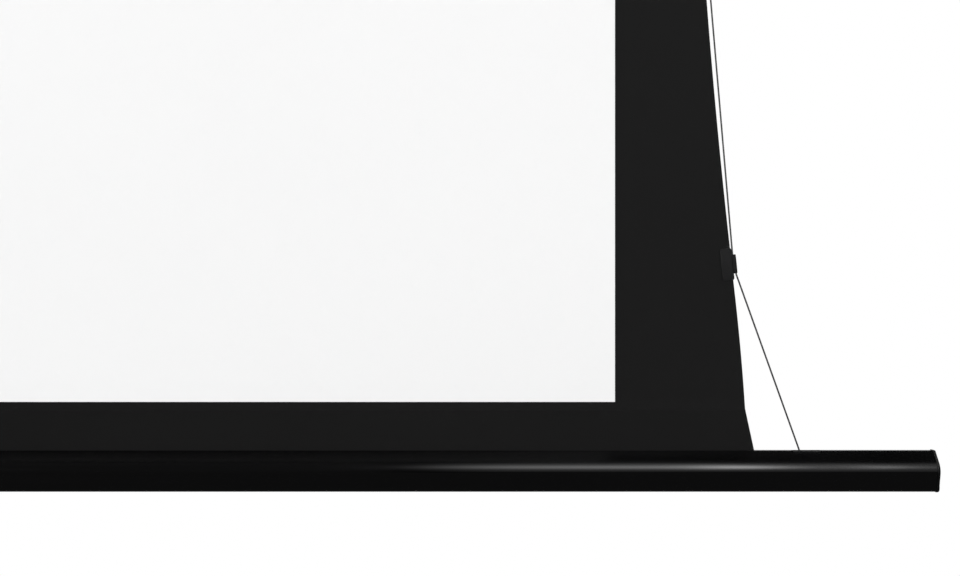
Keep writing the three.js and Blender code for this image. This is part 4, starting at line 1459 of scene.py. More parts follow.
    def cord_path(self) -> np.ndarray:
        """The right-hand cord's points, from the spool down through the tabs into the bar.

        It stands a little off the edge at each tab's mouths and middle, further off at the
        end tabs, and each corner is eased over about three millimetres.

        Returns:
            the points in millimetres.
        """
        mouth = self.sleeve_height / 2
        heights = self.tab_heights()[::-1]
        corners = [(SPOOL_X, self.edge.roller_height)]
        for height in heights:
            top, bottom = height == heights[0], height == heights[-1]
            outs = [
                self.cord_out_mouth if top else self.cord_out,
                self.cord_out_middle if top or bottom else self.cord_out,
                self.cord_out_mouth if bottom else self.cord_out,
            ]
            for offset, out in zip((mouth, 0.0, -mouth), outs):
                corners.append((float(self.edge.at(height + offset)) + out, height + offset))
        corners.append((SPOOL_X, 0.0))
        slope = (corners[-1][0] - corners[-2][0]) / (corners[-1][1] - corners[-2][1])
        corners.append((SPOOL_X - slope * self.cord_tail, -self.cord_tail))
        line = np.array([[x, SCREEN_Y, BAR_TOP + h] for x, h in corners])
        before = line[1:-1] - line[:-2]
        after = line[2:] - line[1:-1]
        before /= np.linalg.norm(before, axis=1, keepdims=True)
        after /= np.linalg.norm(after, axis=1, keepdims=True)
        ease = self.cord_ease
        eased = np.stack([
            line[1:-1] - before * ease,
            line[1:-1] + (after - before) * ease / 4,
            line[1:-1] + after * ease,
        ], 1).reshape(-1, 3)
        path = np.vstack([line[:1], eased, line[-1:]])
        gaps = np.linalg.norm(np.diff(path, axis=0), axis=1)
        count = np.maximum(1, np.round(gaps / self.cord_step)).astype(int)
        start = np.repeat(path[:-1], count, 0)
        span = np.repeat(np.diff(path, axis=0), count, 0)
        step = np.concatenate([np.arange(n) / n for n in count])
        return np.vstack([start + span * step[:, None], path[-1:]])

    def cords(self) -> None:
        """Both tension cords, as round tubes along their path."""
        for side in Side:
            path = self.cord_path() * [side.value, 1, 1]
            form = Form().capped(*tube(path, self.cord_diameter / 2, 12))
            name = f"{side.word}_tension_cord"
            cord = self.shop.place(form, name + "_braided", Palette.CORD, "case", [name])
            self.gather(cord)

    def build(self) -> None:
        """Makes the cords first, and then the cloth and the tabs."""
        self.cords()
        self.fabric()
        self.viewing_surface()
        self.tabs()


# The bottom bar


@dataclass
class BottomBar:
    """The weighted bar with its end caps, cord guides and tension screws.

    Its section is measured from the screen's plane and the bar's top. The plug's two gaps are
    how far its outside and its bore lie inside the chamber.
    """

    shop: Workshop
    half: float = 1381.0
    height: float = 34.2
    front: float = 16.2
    back: float = 6.0
    land_from: float = -1.6
    wall: float = 1.8
    chamber_top: float = -11.0
    pocket_gap: float = 0.6
    pocket_corner: float = 0.8
    pocket_depth: float = 13.0
    pocket_over: float = 2.0
    cap: float = 2.6
    cap_proud: float = 0.5
    plug: float = 10.0
    plug_gaps: tuple[float, float] = (0.3, 1.15)
    screw_at: tuple[float, float] = (-4.6, -23.0)
    screw_recess: float = 4.8

    def front_points(self) -> np.ndarray:
        """The points that the front's curve passes through, from the top land down.

        Returns:
            the pairs of Y and Z.
        """
        shares = np.array([
            [0.52, 0.17], [0.81, 0.29], [0.96, 0.39], [1, 0.48],
            [0.98, 0.57], [0.9, 0.71], [0.83, 0.84],
        ])
        return np.vstack([[self.land_from, 0.0], -shares * [self.front, self.height]])

    def outline(self, square_back: bool = False) -> np.ndarray:
        """The section in Y and Z: a spline down the front, then the nose, floor and back.

        Args:
            square_back: whether the back's corners are left square.

        Returns:
            the pairs of Y and Z.
        """
        curve = natural_spline(self.front_points(), 64)
        nose, edge = 3.0, 1.0
        bottom = -self.height
        corners = [
            arc((self.back - edge, bottom + edge), edge, 270, 360, 6),
            arc((self.back - edge, -edge), edge, 0, 90, 6),
        ]
        if square_back:
            corners = [np.array([[self.back, bottom], [self.back, 0.0]])]
        nose_arc = arc((curve[-1][0] + nose, bottom + nose), nose, 180, 270, 10)[1:]
        return np.vstack([curve, nose_arc, *corners])

    def grooved(self) -> np.ndarray:
        """The section with the hem's keyhole groove let into its top.

        Returns:
            the pairs of Y and Z.
        """
        mouth, depth, radius = 0.8, 5.8, 3.0
        open_angle = math.degrees(math.asin(mouth / radius))
        key = arc((0.0, -depth), radius, 90 - open_angle, -270 + open_angle, 28)
        eased = 0.25
        way_in = [[mouth + eased, 0.0], [mouth, -eased]]
        way_out = [[-mouth, -eased], [-mouth - eased, 0.0]]
        return np.vstack([self.outline(), way_in, key, way_out])

    def hollow(self, gap: float = 0.0) -> np.ndarray:
        """The chamber under the groove, a wall's thickness and a gap inside the section."""
        inner = moved_out(self.outline(square_back=True), -self.wall - gap)
        return self._below(inner, self.chamber_top - gap)

    @staticmethod
    def _below(outline: np.ndarray, level: float) -> np.ndarray:
        """The part of an outline under a level, closed by a straight top.

        Args:
            outline: the closed outline.
            level: the height of the new top.

        Returns:
            the points of the part.
        """
        under = outline[:, 1] < level
        start = int(np.argmax(under & ~np.roll(under, 1)))
        rolled = np.roll(outline, -start, 0)
        kept = rolled[np.roll(under, -start)]
        front = np.array([[kept[0, 0], level]])
        rear = np.array([[kept[-1, 0], level]])
        return np.vstack([front, kept, rear])

    def at(self, outline: np.ndarray) -> np.ndarray:
        """A section's pairs, moved to the bar's place."""
        return outline + [SCREEN_Y, BAR_TOP]

    def extrusion(self) -> None:
        """The bar: the grooved section and its chamber carried along X, and the guides' pockets."""
        outlines = self.at(self.grooved()), self.at(self.hollow())
        form = Form().shell(outlines, -self.half, self.half, 5)
        bar = self.shop.place(form, "polished_bar", Palette.BAR, "bar", ["bottom_bar"], crease=30)
        for side in Side:
            low, high, middle = box_mm(f"{side.word}_cord_guide")
            width, depth = (high - low)[:2] + self.pocket_gap
            pocket = closed(rounded(width, depth, self.pocket_corner, 3)) + middle[:2]
            levels = BAR_TOP - self.pocket_depth, BAR_TOP + self.pocket_over
            carve(bar, Form().capped(np.stack([on_plane(pocket, "z", z) for z in levels])))
        bar.data.set_sharp_from_angle(angle=math.radians(30))

    def caps(self) -> None:
        """The end caps: a plate with an eased rim, a plug inside the bar and the screw's recess.

        The plate is the section moved out, in rings that draw in towards the outer face.
        """
        outline, cap = self.outline(), self.cap
        shares = (0.0, 0.0), (0.0, 0.4), (-0.15, 0.68), (-0.45, 0.87), (-1.0, 1.0)
        hole = self.at(arc(self.screw_at, self.screw_recess, 0, -360, 32)[:-1])
        start = self.half - self.plug
        for side in Side:
            stack = []
            for inset, share in shares:
                ring = self.at(moved_out(outline, self.cap_proud + inset))
                stack.append(on_plane(closed(ring), "x", self.half + cap * share))
            form = Form().grid(np.stack(stack))
            for ring in (stack[0], stack[-1]):
                form.plate_with_holes([ring[:-1], on_plane(hole, "x", ring[0, 0])])
            form.grid(prism(hole, self.half, self.half + cap)).mirrored(side)
            name = f"{side.word}_bar_cap"
            self.shop.place(form, name + "_plate", Palette.BAR_CAP, "bar", [name], crease=35)
            outlines = [self.at(self.hollow(gap)) for gap in self.plug_gaps]
            sleeve = Form().shell(outlines, start, self.half, 2).mirrored(side)
            self.shop.place(sleeve, name + "_plug", Palette.BAR_CAP, "bar", crease=35)

    def hem_rod(self) -> None:
        """The round rod in the fabric's hem, with rounded ends."""
        low, high, middle = box_mm("bar_hem_rod")
        radius, end = (high[2] - low[2]) / 2, high[0]
        profile = rod(-end, end, radius, radius * 0.6, 0.8)
        form = Form().turned(profile, (0, *middle[1:]), sides=32)
        self.shop.place(form, "hem_rod_round", Palette.GREY, "bar", ["bar_hem_rod"])

    def tension_screw(self, side: Side) -> None:
        """A tension screw: a cheese head with a socket, and a thread that is a fine wave.

        The shank's radius swings with the place along it, once for each turn of the thread.

        Args:
            side: the bar's end that it is on.
        """
        name, body = f"{side.word}_tension_screw", f"{side.word}_tensioner"
        low, high, _ = box_mm(name)
        near, far = sorted((abs(low[0]), abs(high[0])))
        axis = (0, *self.at(np.array(self.screw_at)))
        pitch, mean, depth = 0.8, 2.35, 0.15
        thread = np.arange(near + 0.6, far - 3.4, pitch / 4)
        radius = mean + depth * np.cos(2 * np.pi * thread / pitch)
        head = far - 2.6
        profile = [
            (near, 0.0), (near, 1.8), *zip(thread, radius), (head, 2.5), (head, 4.3),
            (head + 0.2, 4.5), (far - 0.4, 4.5), (far, 4.1), (far, 1.9), (far - 1.6, 1.8),
            (far - 1.9, 0.0),
        ]
        form = Form().turned(profile, axis, sides=32).mirrored(side)
        self.shop.place(form, name + "_cut", Palette.ZINC, body, [name], crease=50)

    def ends(self, side: Side) -> None:
        """What tensions a cord in the bar's end: guide, screw, nut and the cord's tail.

        Args:
            side: the bar's end.
        """
        self.shop.refine(f"{side.word}_cord_guide", Palette.GUIDE, "bar", 0.25)
        self.tension_screw(side)
        self.shop.refine(f"{side.word}_tension_nut", Palette.ZINC, f"{side.word}_take_up", 0.4)
        name = f"{side.word}_cord_tail"
        low, high, middle = box_mm(name)
        x = np.linspace(low[0], high[0], 9)
        path = np.column_stack([x, np.full(9, middle[1]), np.full(9, middle[2])])
        form = Form().capped(*tube(path, (high[2] - low[2]) / 2, 16))
        body = frame["nodes"][name]["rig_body"]
        self.shop.place(form, name + "_braided", Palette.CORD, body, [name])

    def build(self) -> None:
        """Makes the bar's pieces."""
        self.extrusion()
        self.caps()
        self.hem_rod()
        for side in Side:
            self.ends(side)


# Fasteners


@dataclass(frozen=True)
class CrossScrew:
    """A screw head with a cross recess."""

    radius: float = 3.2
    rise: float = 1.5
    seat: float = 0.8
    sink: float = 0.7

    def head(self) -> np.ndarray:
        """The head's surface as a grid, facing +X from a seat on X = 0.

        The height is a flat dome: the rise times the root of one less the fourth power of
        the share of the radius. Inside two crossed bars it sinks by a share of the rise,
        over slopes that are a twelfth of the radius wide.

        Returns:
            the grid's points.
        """
        share = np.concatenate([np.linspace(0, 0.7, 16), np.linspace(0.75, 1, 7)])
        c, s = circle(48)
        y, z = self.radius * share[:, None] * c, self.radius * share[:, None] * s
        dome = self.rise * np.sqrt(1 - np.minimum(share, 0.999) ** 4)[:, None]
        long, short, soft = 0.62 * self.radius, 0.15 * self.radius, self.radius / 12

        def bar(a: np.ndarray, b: np.ndarray) -> np.ndarray:
            """One where the point is well inside a bar, falling to nothing at its sides."""
            return np.clip((long - abs(a)) / soft, 0, 1) * np.clip((short - abs(b)) / soft, 0, 1)

        sunk = self.sink * self.rise * np.maximum(bar(y, z), bar(z, y))
        top = np.stack([dome - sunk, y, z], -1)
        low = np.stack([np.full_like(c, -self.seat), self.radius * c, self.radius * s], -1)
        return np.concatenate([top, low[None]])

    def form(self, places: Sequence[Sequence[float]], facing: str) -> Form:
        """Heads at several places.

        Args:
            places: the middle of each seat.
            facing: the way that the heads face: +x, -x or -z.

        Returns:
            One form with a closed head at each place.
        """
        turn = {
            "+x": [[1, 0, 0], [0, 1, 0], [0, 0, 1]],
            "-x": [[-1, 0, 0], [0, -1, 0], [0, 0, 1]],
            "-z": [[0, 0, -1], [0, 1, 0], [1, 0, 0]],
        }[facing]
        head = self.head() @ np.array(turn, float)
        form = Form()
        for place in places:
            grid = head + np.asarray(place, float)
            form.grid(grid).lid(grid[-1][:-1])
        return form


# The case and what is fixed to it


@dataclass
class Case:
    """The long extrusions, the end caps and their screws."""

    shop: Workshop
    cap_face: float = 1407.0
    cap_screws: tuple = ((-6.8, 59.3), (-6.8, -65.7), (-91.0, 65.7))
    floor_z: float = -72.5
    panel_screw_y: float = -82.0
    control_screws: tuple = (-1392.0, -1262.0)
    panel_screws: tuple = (-1238.0, -800.0, -360.0, 80.0, 520.0, 960.0, 1392.0)

    def extrusions(self) -> None:
        """The rear channel, the front cover, both lengths of bottom panel and the slot's strip."""
        for node in ("rear_channel", "front_cover", "bottom_panel", "control_panel"):
            self.shop.refine(node, Palette.CASE, "case", 0.3)
        self.shop.refine("slot_guide_strip", Palette.PLASTIC, "case", 0.2)

    def caps(self) -> None:
        """The moulded end caps with well-rounded rims, and three screws in each."""
        for side in Side:
            self.shop.refine(f"{side.word}_end_cap", Palette.PLASTIC, "case", 0.9)
            places = [(side.value * self.cap_face, y, z) for y, z in self.cap_screws]
            form = CrossScrew().form(places, "+x" if side is Side.RIGHT else "-x")
            self.shop.place(form, f"{side.word}_cap_screws", Palette.BLACK_STEEL, "case")

    def floor_screws(self) -> None:
        """The small screws that hold the bottom panel's two lengths to the front cover."""
        screw = CrossScrew(radius=2.4, rise=0.7, seat=0.6)
        for name, row in (("control", self.control_screws), ("bottom", self.panel_screws)):
            places = [(x, self.panel_screw_y, self.floor_z) for x in row]
            form = screw.form(places, "-z")
            self.shop.place(form, f"{name}_panel_screws", Palette.BLACK_STEEL, "case")

    def build(self) -> None:
        """Makes the case's pieces."""
        self.extrusions()
        self.caps()
        self.floor_screws()


@dataclass
class Hangers:
    """The sliding brackets and their clamp screws."""

    shop: Workshop
    place: float = 900.0
    setback: float = 44.0
    seat: float = 72.8
    shank: float = 3.0
    knob_from: float = 76.4
    knob_top: float = 83.4
    knob_radius: float = 7.5
    ridges: int = 20
    ridge_depth: float = 0.68
    slot_half: float = 0.6
    slot_slope: float = 0.15
    slot_depth: float = 1.1

    def knob(self, side: Side) -> None:
        """A clamp screw with a knurled knob.

        Each row of the surface is a circle. Over the knob's side the radius dips between the
        ridges, as a cosine does, and a driver's slot is sunk in the top.

        Args:
            side: the bracket's side.
        """
        c, s = circle(self.ridges * 8)
        turn = np.linspace(0, 2 * np.pi, self.ridges * 8 + 1)
        low, top, wide = self.knob_from, self.knob_top, self.knob_radius
        rows = [
            (self.seat, 0.0, 0.0), (self.seat, self.shank, 0.0), (low, self.shank, 0.0),
            (low, wide - 0.9, 0.0), (low + 0.5, wide - 0.1, 0.6), (low + 1.0, wide, 1.0),
            (top - 1.9, wide, 1.0), (top - 1.4, wide - 0.1, 0.6), (top - 0.3, wide - 1.2, 0.0),
            (top, wide - 1.6, 0.0),
        ]
        sides = len(rows)
        rows += [(top, r, 0.0) for r in np.linspace(wide - 1.9, 0, 24)]
        z, radius, knurl = np.array(rows).T
        swing = self.ridge_depth / 2 * (np.cos(turn * self.ridges) - 1)
        radius = radius[:, None] + knurl[:, None] * swing
        x, y = radius * c, radius * s
        slot = np.clip((self.slot_half - abs(x)) / self.slot_slope, 0, 1)
        slot *= (np.arange(len(rows)) >= sides)[:, None]
        z = z[:, None] - self.slot_depth * slot
        form = Form().grid(np.stack([x + self.place, y - self.setback, z], -1)).mirrored(side)
        name, body = f"{side.word}_clamp_screw", f"{side.word}_clamp"
        self.shop.place(form, name + "_knurled", Palette.ZINC, body, [name], crease=45)

    def build(self) -> None:
        """Makes both brackets and both clamp screws."""
        for side in Side:
            self.shop.refine(f"{side.word}_bracket", Palette.ZINC, f"{side.word}_hanger", 0.4)
            self.knob(side)


@dataclass
class Controls:
    """The control box, its window, lamp and button, and the sockets in the left end."""

    shop: Workshop
    lamp_radius: float = 2.0
    button_radius: float = 5.0
    button_flange: float = 7.0
    flange_at: tuple[float, float] = (-70.2, -68.7)
    inlet_screws: float = 17.5

    def lamp(self) -> None:
        """The status lamp's lens: a rod along Y with a low dome in front."""
        low, high, middle = box_mm("status_lamp")
        r, front, brim = self.lamp_radius, low[1], math.radians(20)
        turn = np.linspace(np.pi / 2, brim, 8)
        dome = [(front + 0.9 * (1 - math.sin(a)), r * math.cos(a) / math.cos(brim)) for a in turn]
        profile = [*dome, (high[1] - 0.4, r), (high[1], r - 0.3), (high[1], 0.0)]
        form = Form().turned(profile, (middle[0], 0, middle[2]), "y", 32)
        self.shop.place(form, "status_lens", Palette.GREEN, "case", ["status_lamp"])

    def button(self) -> None:
        """The push-button: a flange inside the panel, a rounded cap below and a thin stem."""
        low, high, middle = box_mm("manual_button")
        r, flange, bottom = self.button_radius, self.button_flange, low[2]
        under, over = self.flange_at
        profile = [
            (bottom + 0.45, 0.0), (bottom + 0.4, 1.6), (bottom + 0.1, 3.2), (bottom, 4.0),
            (bottom + 0.25, 4.7), (bottom + 0.9, r), (under, r), (under, flange), (over, flange),
            (over, r / 2), (high[2] - 0.3, r / 2), (high[2], r / 2 - 0.3), (high[2], 0.0),
        ]
        form = Form().turned(profile, (middle[0], middle[1], 0), "z", 48)
        self.shop.place(form, "manual_push_button", Palette.GREY, "button", ["manual_button"])

    def build(self) -> None:
        """Makes the controls' pieces."""
        self.shop.refine("control_box", Palette.PLASTIC, "case", 0.8)
        self.shop.refine("ir_window", Palette.INFRARED, "case", 0.3)
        self.shop.refine("power_inlet", Palette.PLASTIC, "case", 0.3)
        self.shop.refine("trigger_socket", Palette.GREY, "case", 0.25)
        self.lamp()
        self.button()
        low, _, middle = box_mm("power_inlet")
        out = self.inlet_screws
        places = [(low[0], middle[1] + y, middle[2]) for y in (-out, out)]
        form = CrossScrew(radius=2.6, rise=0.9, seat=0.6).form(places, "-x")
        self.shop.place(form, "inlet_screws", Palette.BLACK_STEEL, "case")


# The roller and its drive


@dataclass
class Roller:
    """The tube with all that turns with it, and what holds it at each end."""

    shop: Workshop
    outer_turn: float = 36.0
    turns: float = 1.6
    pitch: float = 0.36
    cloth: float = 0.3

    def wound_cloth(self) -> None:
        """The cloth still on the roller.

        Its middle follows a spiral in Y and Z: the radius falls by the pitch with each turn
        from where the cloth leaves, behind the axis, and the strip has a face on each side.
        """
        turn = np.linspace(0, 2 * np.pi * self.turns, 150)
        middle = self.outer_turn - self.pitch * turn / (2 * np.pi)
        rings = []
        for radius in (middle + self.cloth / 2, middle - self.cloth / 2):
            ring = np.column_stack([radius * np.cos(turn), radius * np.sin(turn)])
            rings.append(ring + ROLLER_AXIS[1:])
        outline = np.vstack([rings[0], rings[1][::-1]])
        form = Form().grid(prism(outline, -CLOTH_HALF, CLOTH_HALF, 3))
        for x in (-CLOTH_HALF, CLOTH_HALF):
            form.grid(np.stack([on_plane(ring, "x", x) for ring in rings]))
        piece = self.shop.place(
            form, "wound_cloth", Palette.FABRIC, "roller", ["wound_fabric"], crease=50
        )

    def spool(self, side: Side) -> None:
        """A cord spool: a floor and an outer flange with an eased rim.

        Args:
            side: the roller's end that it is on.
        """
        inner, floor, rim, half = 35.3, 35.9, 40.1, 4.5
        profile = [
            (-half, inner), (-half, floor), (half - 2.1, floor), (half - 1.6, floor + 0.5),
            (half - 1.5, rim - 0.5), (half - 1.1, rim), (half - 0.4, rim), (half, rim - 0.5),
            (half, inner), (-half, inner),
        ]
        form = Form().turned(profile, (SPOOL_X, *ROLLER_AXIS[1:]), sides=96).mirrored(side)
        name = f"{side.word}_cord_spool"
        self.shop.place(form, name + "_round", Palette.PLASTIC, "roller", [name], crease=50)

    def rods(self) -> None:
        """The key rod, and the idler's pin with its eased collar and ends."""
        low, high, middle = box_mm("roller_key_rod")
        radius, ease = (high[2] - low[2]) / 2, 0.4
        profile = rod(low[0], high[0], radius, radius - ease, ease)
        form = Form().turned(profile, (0, *middle[1:]), sides=32)
        self.shop.place(form, "key_rod_round", Palette.GREY, "roller", ["roller_key_rod"])
        low, high, _ = box_mm("idler_pin")
        collar = 1328.2
        profile = [
            (low[0], 0), (low[0], 3.5), (low[0] + 0.5, 4), (collar, 4), (collar, 6.6),
            (collar + 0.4, 7), (collar + 2.6, 7), (collar + 3, 6.6), (collar + 3, 4),
            (high[0] - 0.6, 4), (high[0], 3.4), (high[0], 0),
        ]
        form = Form().turned(profile, ROLLER_AXIS, sides=48)
        self.shop.place(form, "idler_pin_round", Palette.ZINC, "case", ["idler_pin"])

    def bearing(self) -> None:
        """The idler's ball bearing: two races with a sunk shield between them on each face."""
        name = "idler_bearing"
        low, high, _ = box_mm(name)
        a, b = low[0], high[0]
        profile = [
            (a, 4.6), (a, 6.0), (a + 0.5, 6.2), (a + 0.5, 9.2), (a, 9.4), (a, 10.7),
            (a + 0.3, 11.0), (b - 0.3, 11.0), (b, 10.7), (b, 9.4), (b - 0.5, 9.2),
            (b - 0.5, 6.2), (b, 6.0), (b, 4.6), (b - 0.3, 4.3), (a + 0.3, 4.3), (a, 4.6),
        ]
        form = Form().turned(profile, ROLLER_AXIS, sides=64)
        self.shop.place(form, name + "_races", Palette.ZINC, "roller", [name], crease=30)

    def build(self) -> None:
        """Makes the roller's pieces."""
        self.shop.refine("roller_tube", Palette.ALUMINIUM, "roller", 0.15)
        self.wound_cloth()
        for side in Side:
            self.spool(side)
        self.rods()
        self.bearing()
        self.shop.refine("idler_plug", Palette.PLASTIC, "roller", 0.3)
        self.shop.refine("idler_plate", Palette.ZINC, "case", 0.3)


@dataclass
class Drive:
    """The tubular motor with its head, plate, limit screws and lead."""

    shop: Workshop
    radius: float = 22.0
    grooves: tuple[float, float] = (14.0, -22.0)

    def motor(self) -> None:
        """The motor's tube: rolled grooves near both ends hold what is inside."""
        name = "motor_tube"
        low, high, _ = box_mm(name)
        a, b, r = low[0], high[0], self.radius
        groove = [(0.0, r), (1.2, r - 0.7), (2.0, r - 0.9), (2.8, r - 0.7), (4.0, r)]
        profile = [(a, 0.0), (a, r - 0.5), (a + 0.5, r)]
        for start in (a + self.grooves[0], b + self.grooves[1]):
            profile += [(start + x, radius) for x, radius in groove]
        profile += [(b - 0.5, r), (b, r - 0.5), (b, 7.6), (b - 12.3, 7.3), (b - 12.3, 0.0)]
        form = Form().turned(profile, ROLLER_AXIS, sides=72)
        self.shop.place(form, name + "_rolled", Palette.ALUMINIUM, "case", [name], crease=50)

    def lead(self) -> None:
        """The motor's lead between the control box and the head, with a moulded collar."""
        name = "motor_lead"
        low, high, middle = box_mm(name)
        a, b, r = low[0], high[0], (high[2] - low[2]) / 2
        profile = [
            (a, 0), (a, r - 0.6), (b - 9, r - 0.6), (b - 8, r - 0.5), (b - 7, r),
            (b - 6.2, r), (b - 6, r - 0.4), (b - 5, r - 0.4), (b - 4.8, r), (b - 4, r),
            (b - 3.8, r - 0.4), (b - 2.8, r - 0.4), (b - 2.6, r), (b, r), (b, 0),
        ]
        form = Form().turned(profile, (0, *middle[1:]), sides=40)
        self.shop.place(form, name + "_sleeved", Palette.RUBBER, "case", [name], crease=50)

    def build(self) -> None:
        """Makes the drive's pieces."""
        self.motor()
        self.lead()
        self.shop.refine("motor_plate", Palette.ZINC, "case", 0.3)
        self.shop.refine("motor_head", Palette.PLASTIC, "case", 0.5)
        self.shop.refine("upper_limit_screw", Palette.YELLOW, "upper_limit", 0.2)
        self.shop.refine("lower_limit_screw", Palette.WHITE, "lower_limit", 0.2)
        self.shop.refine("limit_crown", Palette.PLASTIC, "roller", 0.3)
        self.shop.refine("drive_wheel", Palette.PLASTIC, "roller", 0.3)


# The scene


@dataclass
class Studio:
    """White surroundings, a pale floor, soft lamps and the camera at the photograph's view.

    All lengths are in metres. The floor fades from three lines on: at its sides, in front
    and behind. A card's place is given across, as the distance from the middle, and by two
    points in Y and Z, which its foot and head lie beyond by shares of the way between them.
    Its level rises and falls, and its ridge lies, at shares of the height between the two.
    Each bell has a middle, a width and a strength.
    """

    lens: float = 56.43
    camera_at: tuple[float, float, float] = (0.9904, -1.3293, -1.6321)
    floor_z: float = -2.2
    floor_half: float = 3.0
    floor_near: float = -2.6
    floor_far: float = 1.2
    floor_fades: tuple[float, float, float] = (1.5, -1.0, 0.2)
    floor_glow: float = 0.75
    ambient: float = 0.5
    lamp_at: tuple[float, float, float] = (1.7, -3.3, -0.3)
    lamp_towards: tuple[float, float, float] = (0.5, 0.0, -0.9)
    lamp_size: tuple[float, float] = (1.6, 1.2)
    lamp_power: float = 40.0
    card_across: tuple[float, float] = (0.84, 2.1)
    card_start: float = 1.06
    card_low: tuple[float, float] = (-1.6, -1.84)
    card_high: tuple[float, float] = (-0.34, -0.6)
    card_beyond: tuple[float, float] = (0.26, 0.18)
    card_level: float = 4.5
    level_rises: tuple[float, float] = (-0.3, 0.25)
    level_falls: tuple[float, float] = (1.24, 1.0)
    ridge: tuple[float, float] = (16.0, 3.0)
    ridge_falls: tuple[float, float] = (1.25, 1.5)
    bells: tuple = ((1.2, 0.2, 13.0), (1.395, 0.056, 80.0), (1.618, 0.03, 46.0))
    ridge_up: tuple[float, float] = (0.69, 0.23)
    black_across: tuple[float, float] = (1.37, 2.4)
    black_half: float = 0.3
    black_z: float = -0.45

    def world(self) -> None:
        """White where the camera, gloss or glass looks, and a plainer level as light."""
        world = bpy.data.worlds.new("studio")
        bpy.context.scene.world = world
        world.use_nodes = True
        tree = Tree(world.node_tree)
        world.node_tree.nodes.clear()
        light = tree.node("Background", Color=WHITE, Strength=self.ambient)
        white = tree.node("Background", Color=WHITE, Strength=1.0)
        mix = tree.mixed(self.seen(tree), light.outputs[0], white.outputs[0])
        tree.node("OutputWorld", Surface=mix)

    @staticmethod
    def seen(tree: Tree) -> bpy.types.NodeSocket:
        """One for rays from the camera, gloss or glass, and nothing for the others.

        Args:
            tree: the material's or the world's node tree.

        Returns:
            the share's output.
        """
        path = tree.node("LightPath")
        either = tree.math("MAXIMUM", path.outputs["Is Camera Ray"], path.outputs["Is Glossy Ray"])
        return tree.math("MAXIMUM", either, path.outputs["Is Transmission Ray"])

    def floor(self) -> None:
        """A wide pale floor that keeps a light shadow, and fades to white towards its edges."""
        wide, near, far = self.floor_half, self.floor_near, self.floor_far
        corners = [(-wide, near), (wide, near), (wide, far), (-wide, far)]
        _, skin = self.flat("floor", [(x, y, self.floor_z) for x, y in corners])
        skin.set(Base_Color=(0.86, 0.86, 0.86), Roughness=0.9, Specular_IOR_Level=0.0)
        glow = skin.node("Emission", Color=WHITE, Strength=1.0)
        parts = skin.node("SeparateXYZ", Vector=skin.at)
        beside, before, behind = self.floor_fades
        sides = skin.ramp(skin.math("ABSOLUTE", parts.outputs["X"]), beside, wide)
        depth = parts.outputs["Y"]
        ends = skin.math("MAXIMUM", skin.ramp(depth, before, near), skin.ramp(depth, behind, far))
        fade = skin.between(skin.math("MAXIMUM", sides, ends), self.floor_glow, 1.0)
        share = skin.math("MULTIPLY", self.seen(skin), fade)
        skin.emit(skin.mixed(share, skin.shader.outputs[0], glow.outputs[0]))

    def lamp(self, side: Side) -> None:
        """A soft rectangular lamp in front.

        Args:
            side: the side that it stands on.
        """
        light = bpy.data.lights.new(f"{side.word}_soft", "AREA")
        light.shape = "RECTANGLE"
        light.size, light.size_y = self.lamp_size
        light.energy = self.lamp_power
        lamp = in_scene(light.name, light)
        ends = self.lamp_at, self.lamp_towards
        at, towards = (Vector((side.value * x, y, z)) for x, y, z in ends)
        lamp.location = at
        lamp.rotation_euler = (towards - at).to_track_quat("-Z", "Y").to_euler()
        lamp.visible_camera = False

    @staticmethod
    def flat(name: str, corners: Sequence[Sequence[float]]) -> tuple[bpy.types.Object, Skin]:
        """A flat part of the surroundings.

        Args:
            name: its name and its material's.
            corners: its four corners in order.

        Returns:
            Its object and the tree of its material.
        """
        mesh = bpy.data.meshes.new(name)
        mesh.from_pydata([tuple(corner) for corner in corners], [], [(0, 1, 2, 3)])
        made = in_scene(name, mesh)
        material = bpy.data.materials.new(name)
        material.use_nodes = True
        mesh.materials.append(material)
        return made, Skin(material)

    def panel(self, name: str, corners: Sequence[Sequence[float]]) -> Skin:
        """A flat panel that shows in gloss alone, as a photographer's cards do.

        Args:
            name: its name and its material's.
            corners: its four corners in order.

        Returns:
            The tree of its material, which is still black.
        """
        panel, skin = self.flat(name, corners)
        skin.set(Base_Color=(0.0, 0.0, 0.0))
        panel.visible_camera = panel.visible_diffuse = panel.visible_shadow = False
        panel.visible_transmission = False
        return skin

    def card(self, side: Side) -> None:
        """A glowing card before one end of the bar, with soft edges.

        It leans from the floor, well in front, up to a place over the bar, so that the whole
        turn of the bar's front shows it. Its glow is a low plain level plus a ridge, which is
        a bell curve up the card. The ridge's own level is a nearly plain part that starts
        softly at the card's inner edge and three bell curves across it.

        Args:
            side: the end of the bar that it lights.
        """
        low, high = np.array(self.card_low), np.array(self.card_high)
        under, over = self.card_beyond
        foot, head = low - under * (high - low), high + over * (high - low)
        near, far = self.card_across
        corners = [(side.value * x, *foot) for x in (near, far)]
        corners += [(side.value * x, *head) for x in (far, near)]
        skin = self.panel(f"{side.word}_card", corners)
        parts = skin.node("SeparateXYZ", Vector=skin.at)
        across = skin.math("ABSOLUTE", parts.outputs["X"])
        rise = skin.math("SUBTRACT", parts.outputs["Z"], float(low[1]))
        share = skin.math("DIVIDE", rise, float(high[1] - low[1]))

        def bell(value: object, middle: float, width: float) -> bpy.types.NodeSocket:
            """A bell curve of a value about a middle: e to the power of minus the share squared.

            Args:
                value: the value that it follows.
                middle: where it is 1.
                width: the distance from there that the share counts in.

            Returns:
                the curve's output.
            """
            out = skin.math("DIVIDE", skin.math("SUBTRACT", value, middle), width)
            squared = skin.math("MULTIPLY", out, out)
            return skin.math("EXPONENT", skin.math("MULTIPLY", squared, -1.0))

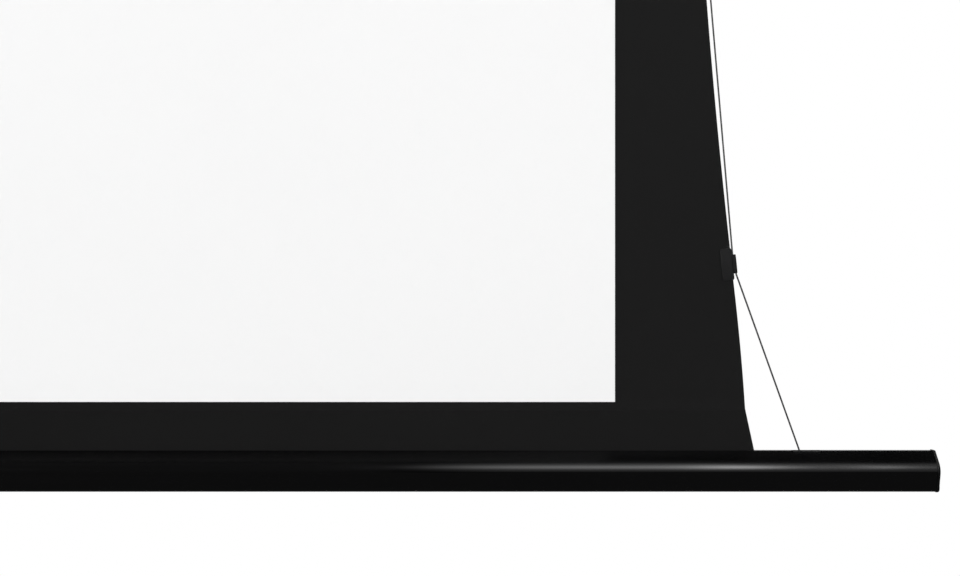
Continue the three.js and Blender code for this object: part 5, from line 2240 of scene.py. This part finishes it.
        start = skin.ramp(across, near, self.card_start)
        plain = skin.between(skin.ramp(across, *self.ridge_falls), *self.ridge)
        ridge = skin.math("MULTIPLY", start, plain)
        for middle, width, strength in self.bells:
            ridge = skin.math("MULTIPLY_ADD", bell(across, middle, width), strength, ridge)
        rising, falling = skin.ramp(share, *self.level_rises), skin.ramp(share, *self.level_falls)
        level = skin.math("MULTIPLY", rising, falling)
        level = skin.math("MULTIPLY", skin.math("MULTIPLY", level, start), self.card_level)
        glow = skin.math("ADD", level, skin.math("MULTIPLY", ridge, bell(share, *self.ridge_up)))
        light = skin.node("Emission", Color=WHITE, Strength=glow)
        skin.emit(light.outputs[0])

    def lamps(self) -> None:
        """Two soft lamps in front, and for each end of the bar a glowing and a black card.

        The black card is over the bar's end, where it keeps the bar's top dark, as a room does.
        """
        for side in Side:
            self.lamp(side)
            self.card(side)
            near, far = (side.value * x for x in self.black_across)
            half, z = self.black_half, self.black_z
            corners = [(near, -half, z), (far, -half, z), (far, half, z), (near, half, z)]
            self.panel(f"{side.word}_black_card", corners)

    def camera(self) -> None:
        """The camera, looking straight along +Y at the bottom right corner."""
        data = bpy.data.cameras.new("camera")
        data.sensor_width = 36.0
        data.lens = self.lens
        data.clip_end = 60.0
        camera = in_scene("camera", data)
        camera.location = self.camera_at
        camera.rotation_euler = (math.radians(90), 0, 0)
        bpy.context.scene.camera = camera

    def build(self) -> None:
        """Makes the surroundings."""
        bpy.context.scene.view_settings.view_transform = "Standard"
        self.camera()
        self.world()
        self.floor()
        self.lamps()


def dress_the_rest() -> None:
    """Gives each node that is still shown its slot's finish."""
    by_slot = {finish.value.slot.value: finish for finish in Palette}
    slots = {row["node"]: row["material_slot"] for row in frame["record"]["subparts"]}
    for name, node in frame["nodes"].items():
        material = by_slot[slots[name]].value.material()
        node.data.materials.clear()
        node.data.materials.append(material)


def main() -> None:
    """Builds the camera and surroundings, and then each sub-assembly in order."""
    logging.basicConfig(level=logging.INFO, format="%(message)s")
    shop = Workshop()
    Studio().build()
    dress_the_rest()
    Screen(shop).build()
    BottomBar(shop).build()
    Case(shop).build()
    Hangers(shop).build()
    Controls(shop).build()
    Roller(shop).build()
    Drive(shop).build()
    log.info("%d pieces made", shop.made)


if __name__ == "__main__":
    main()
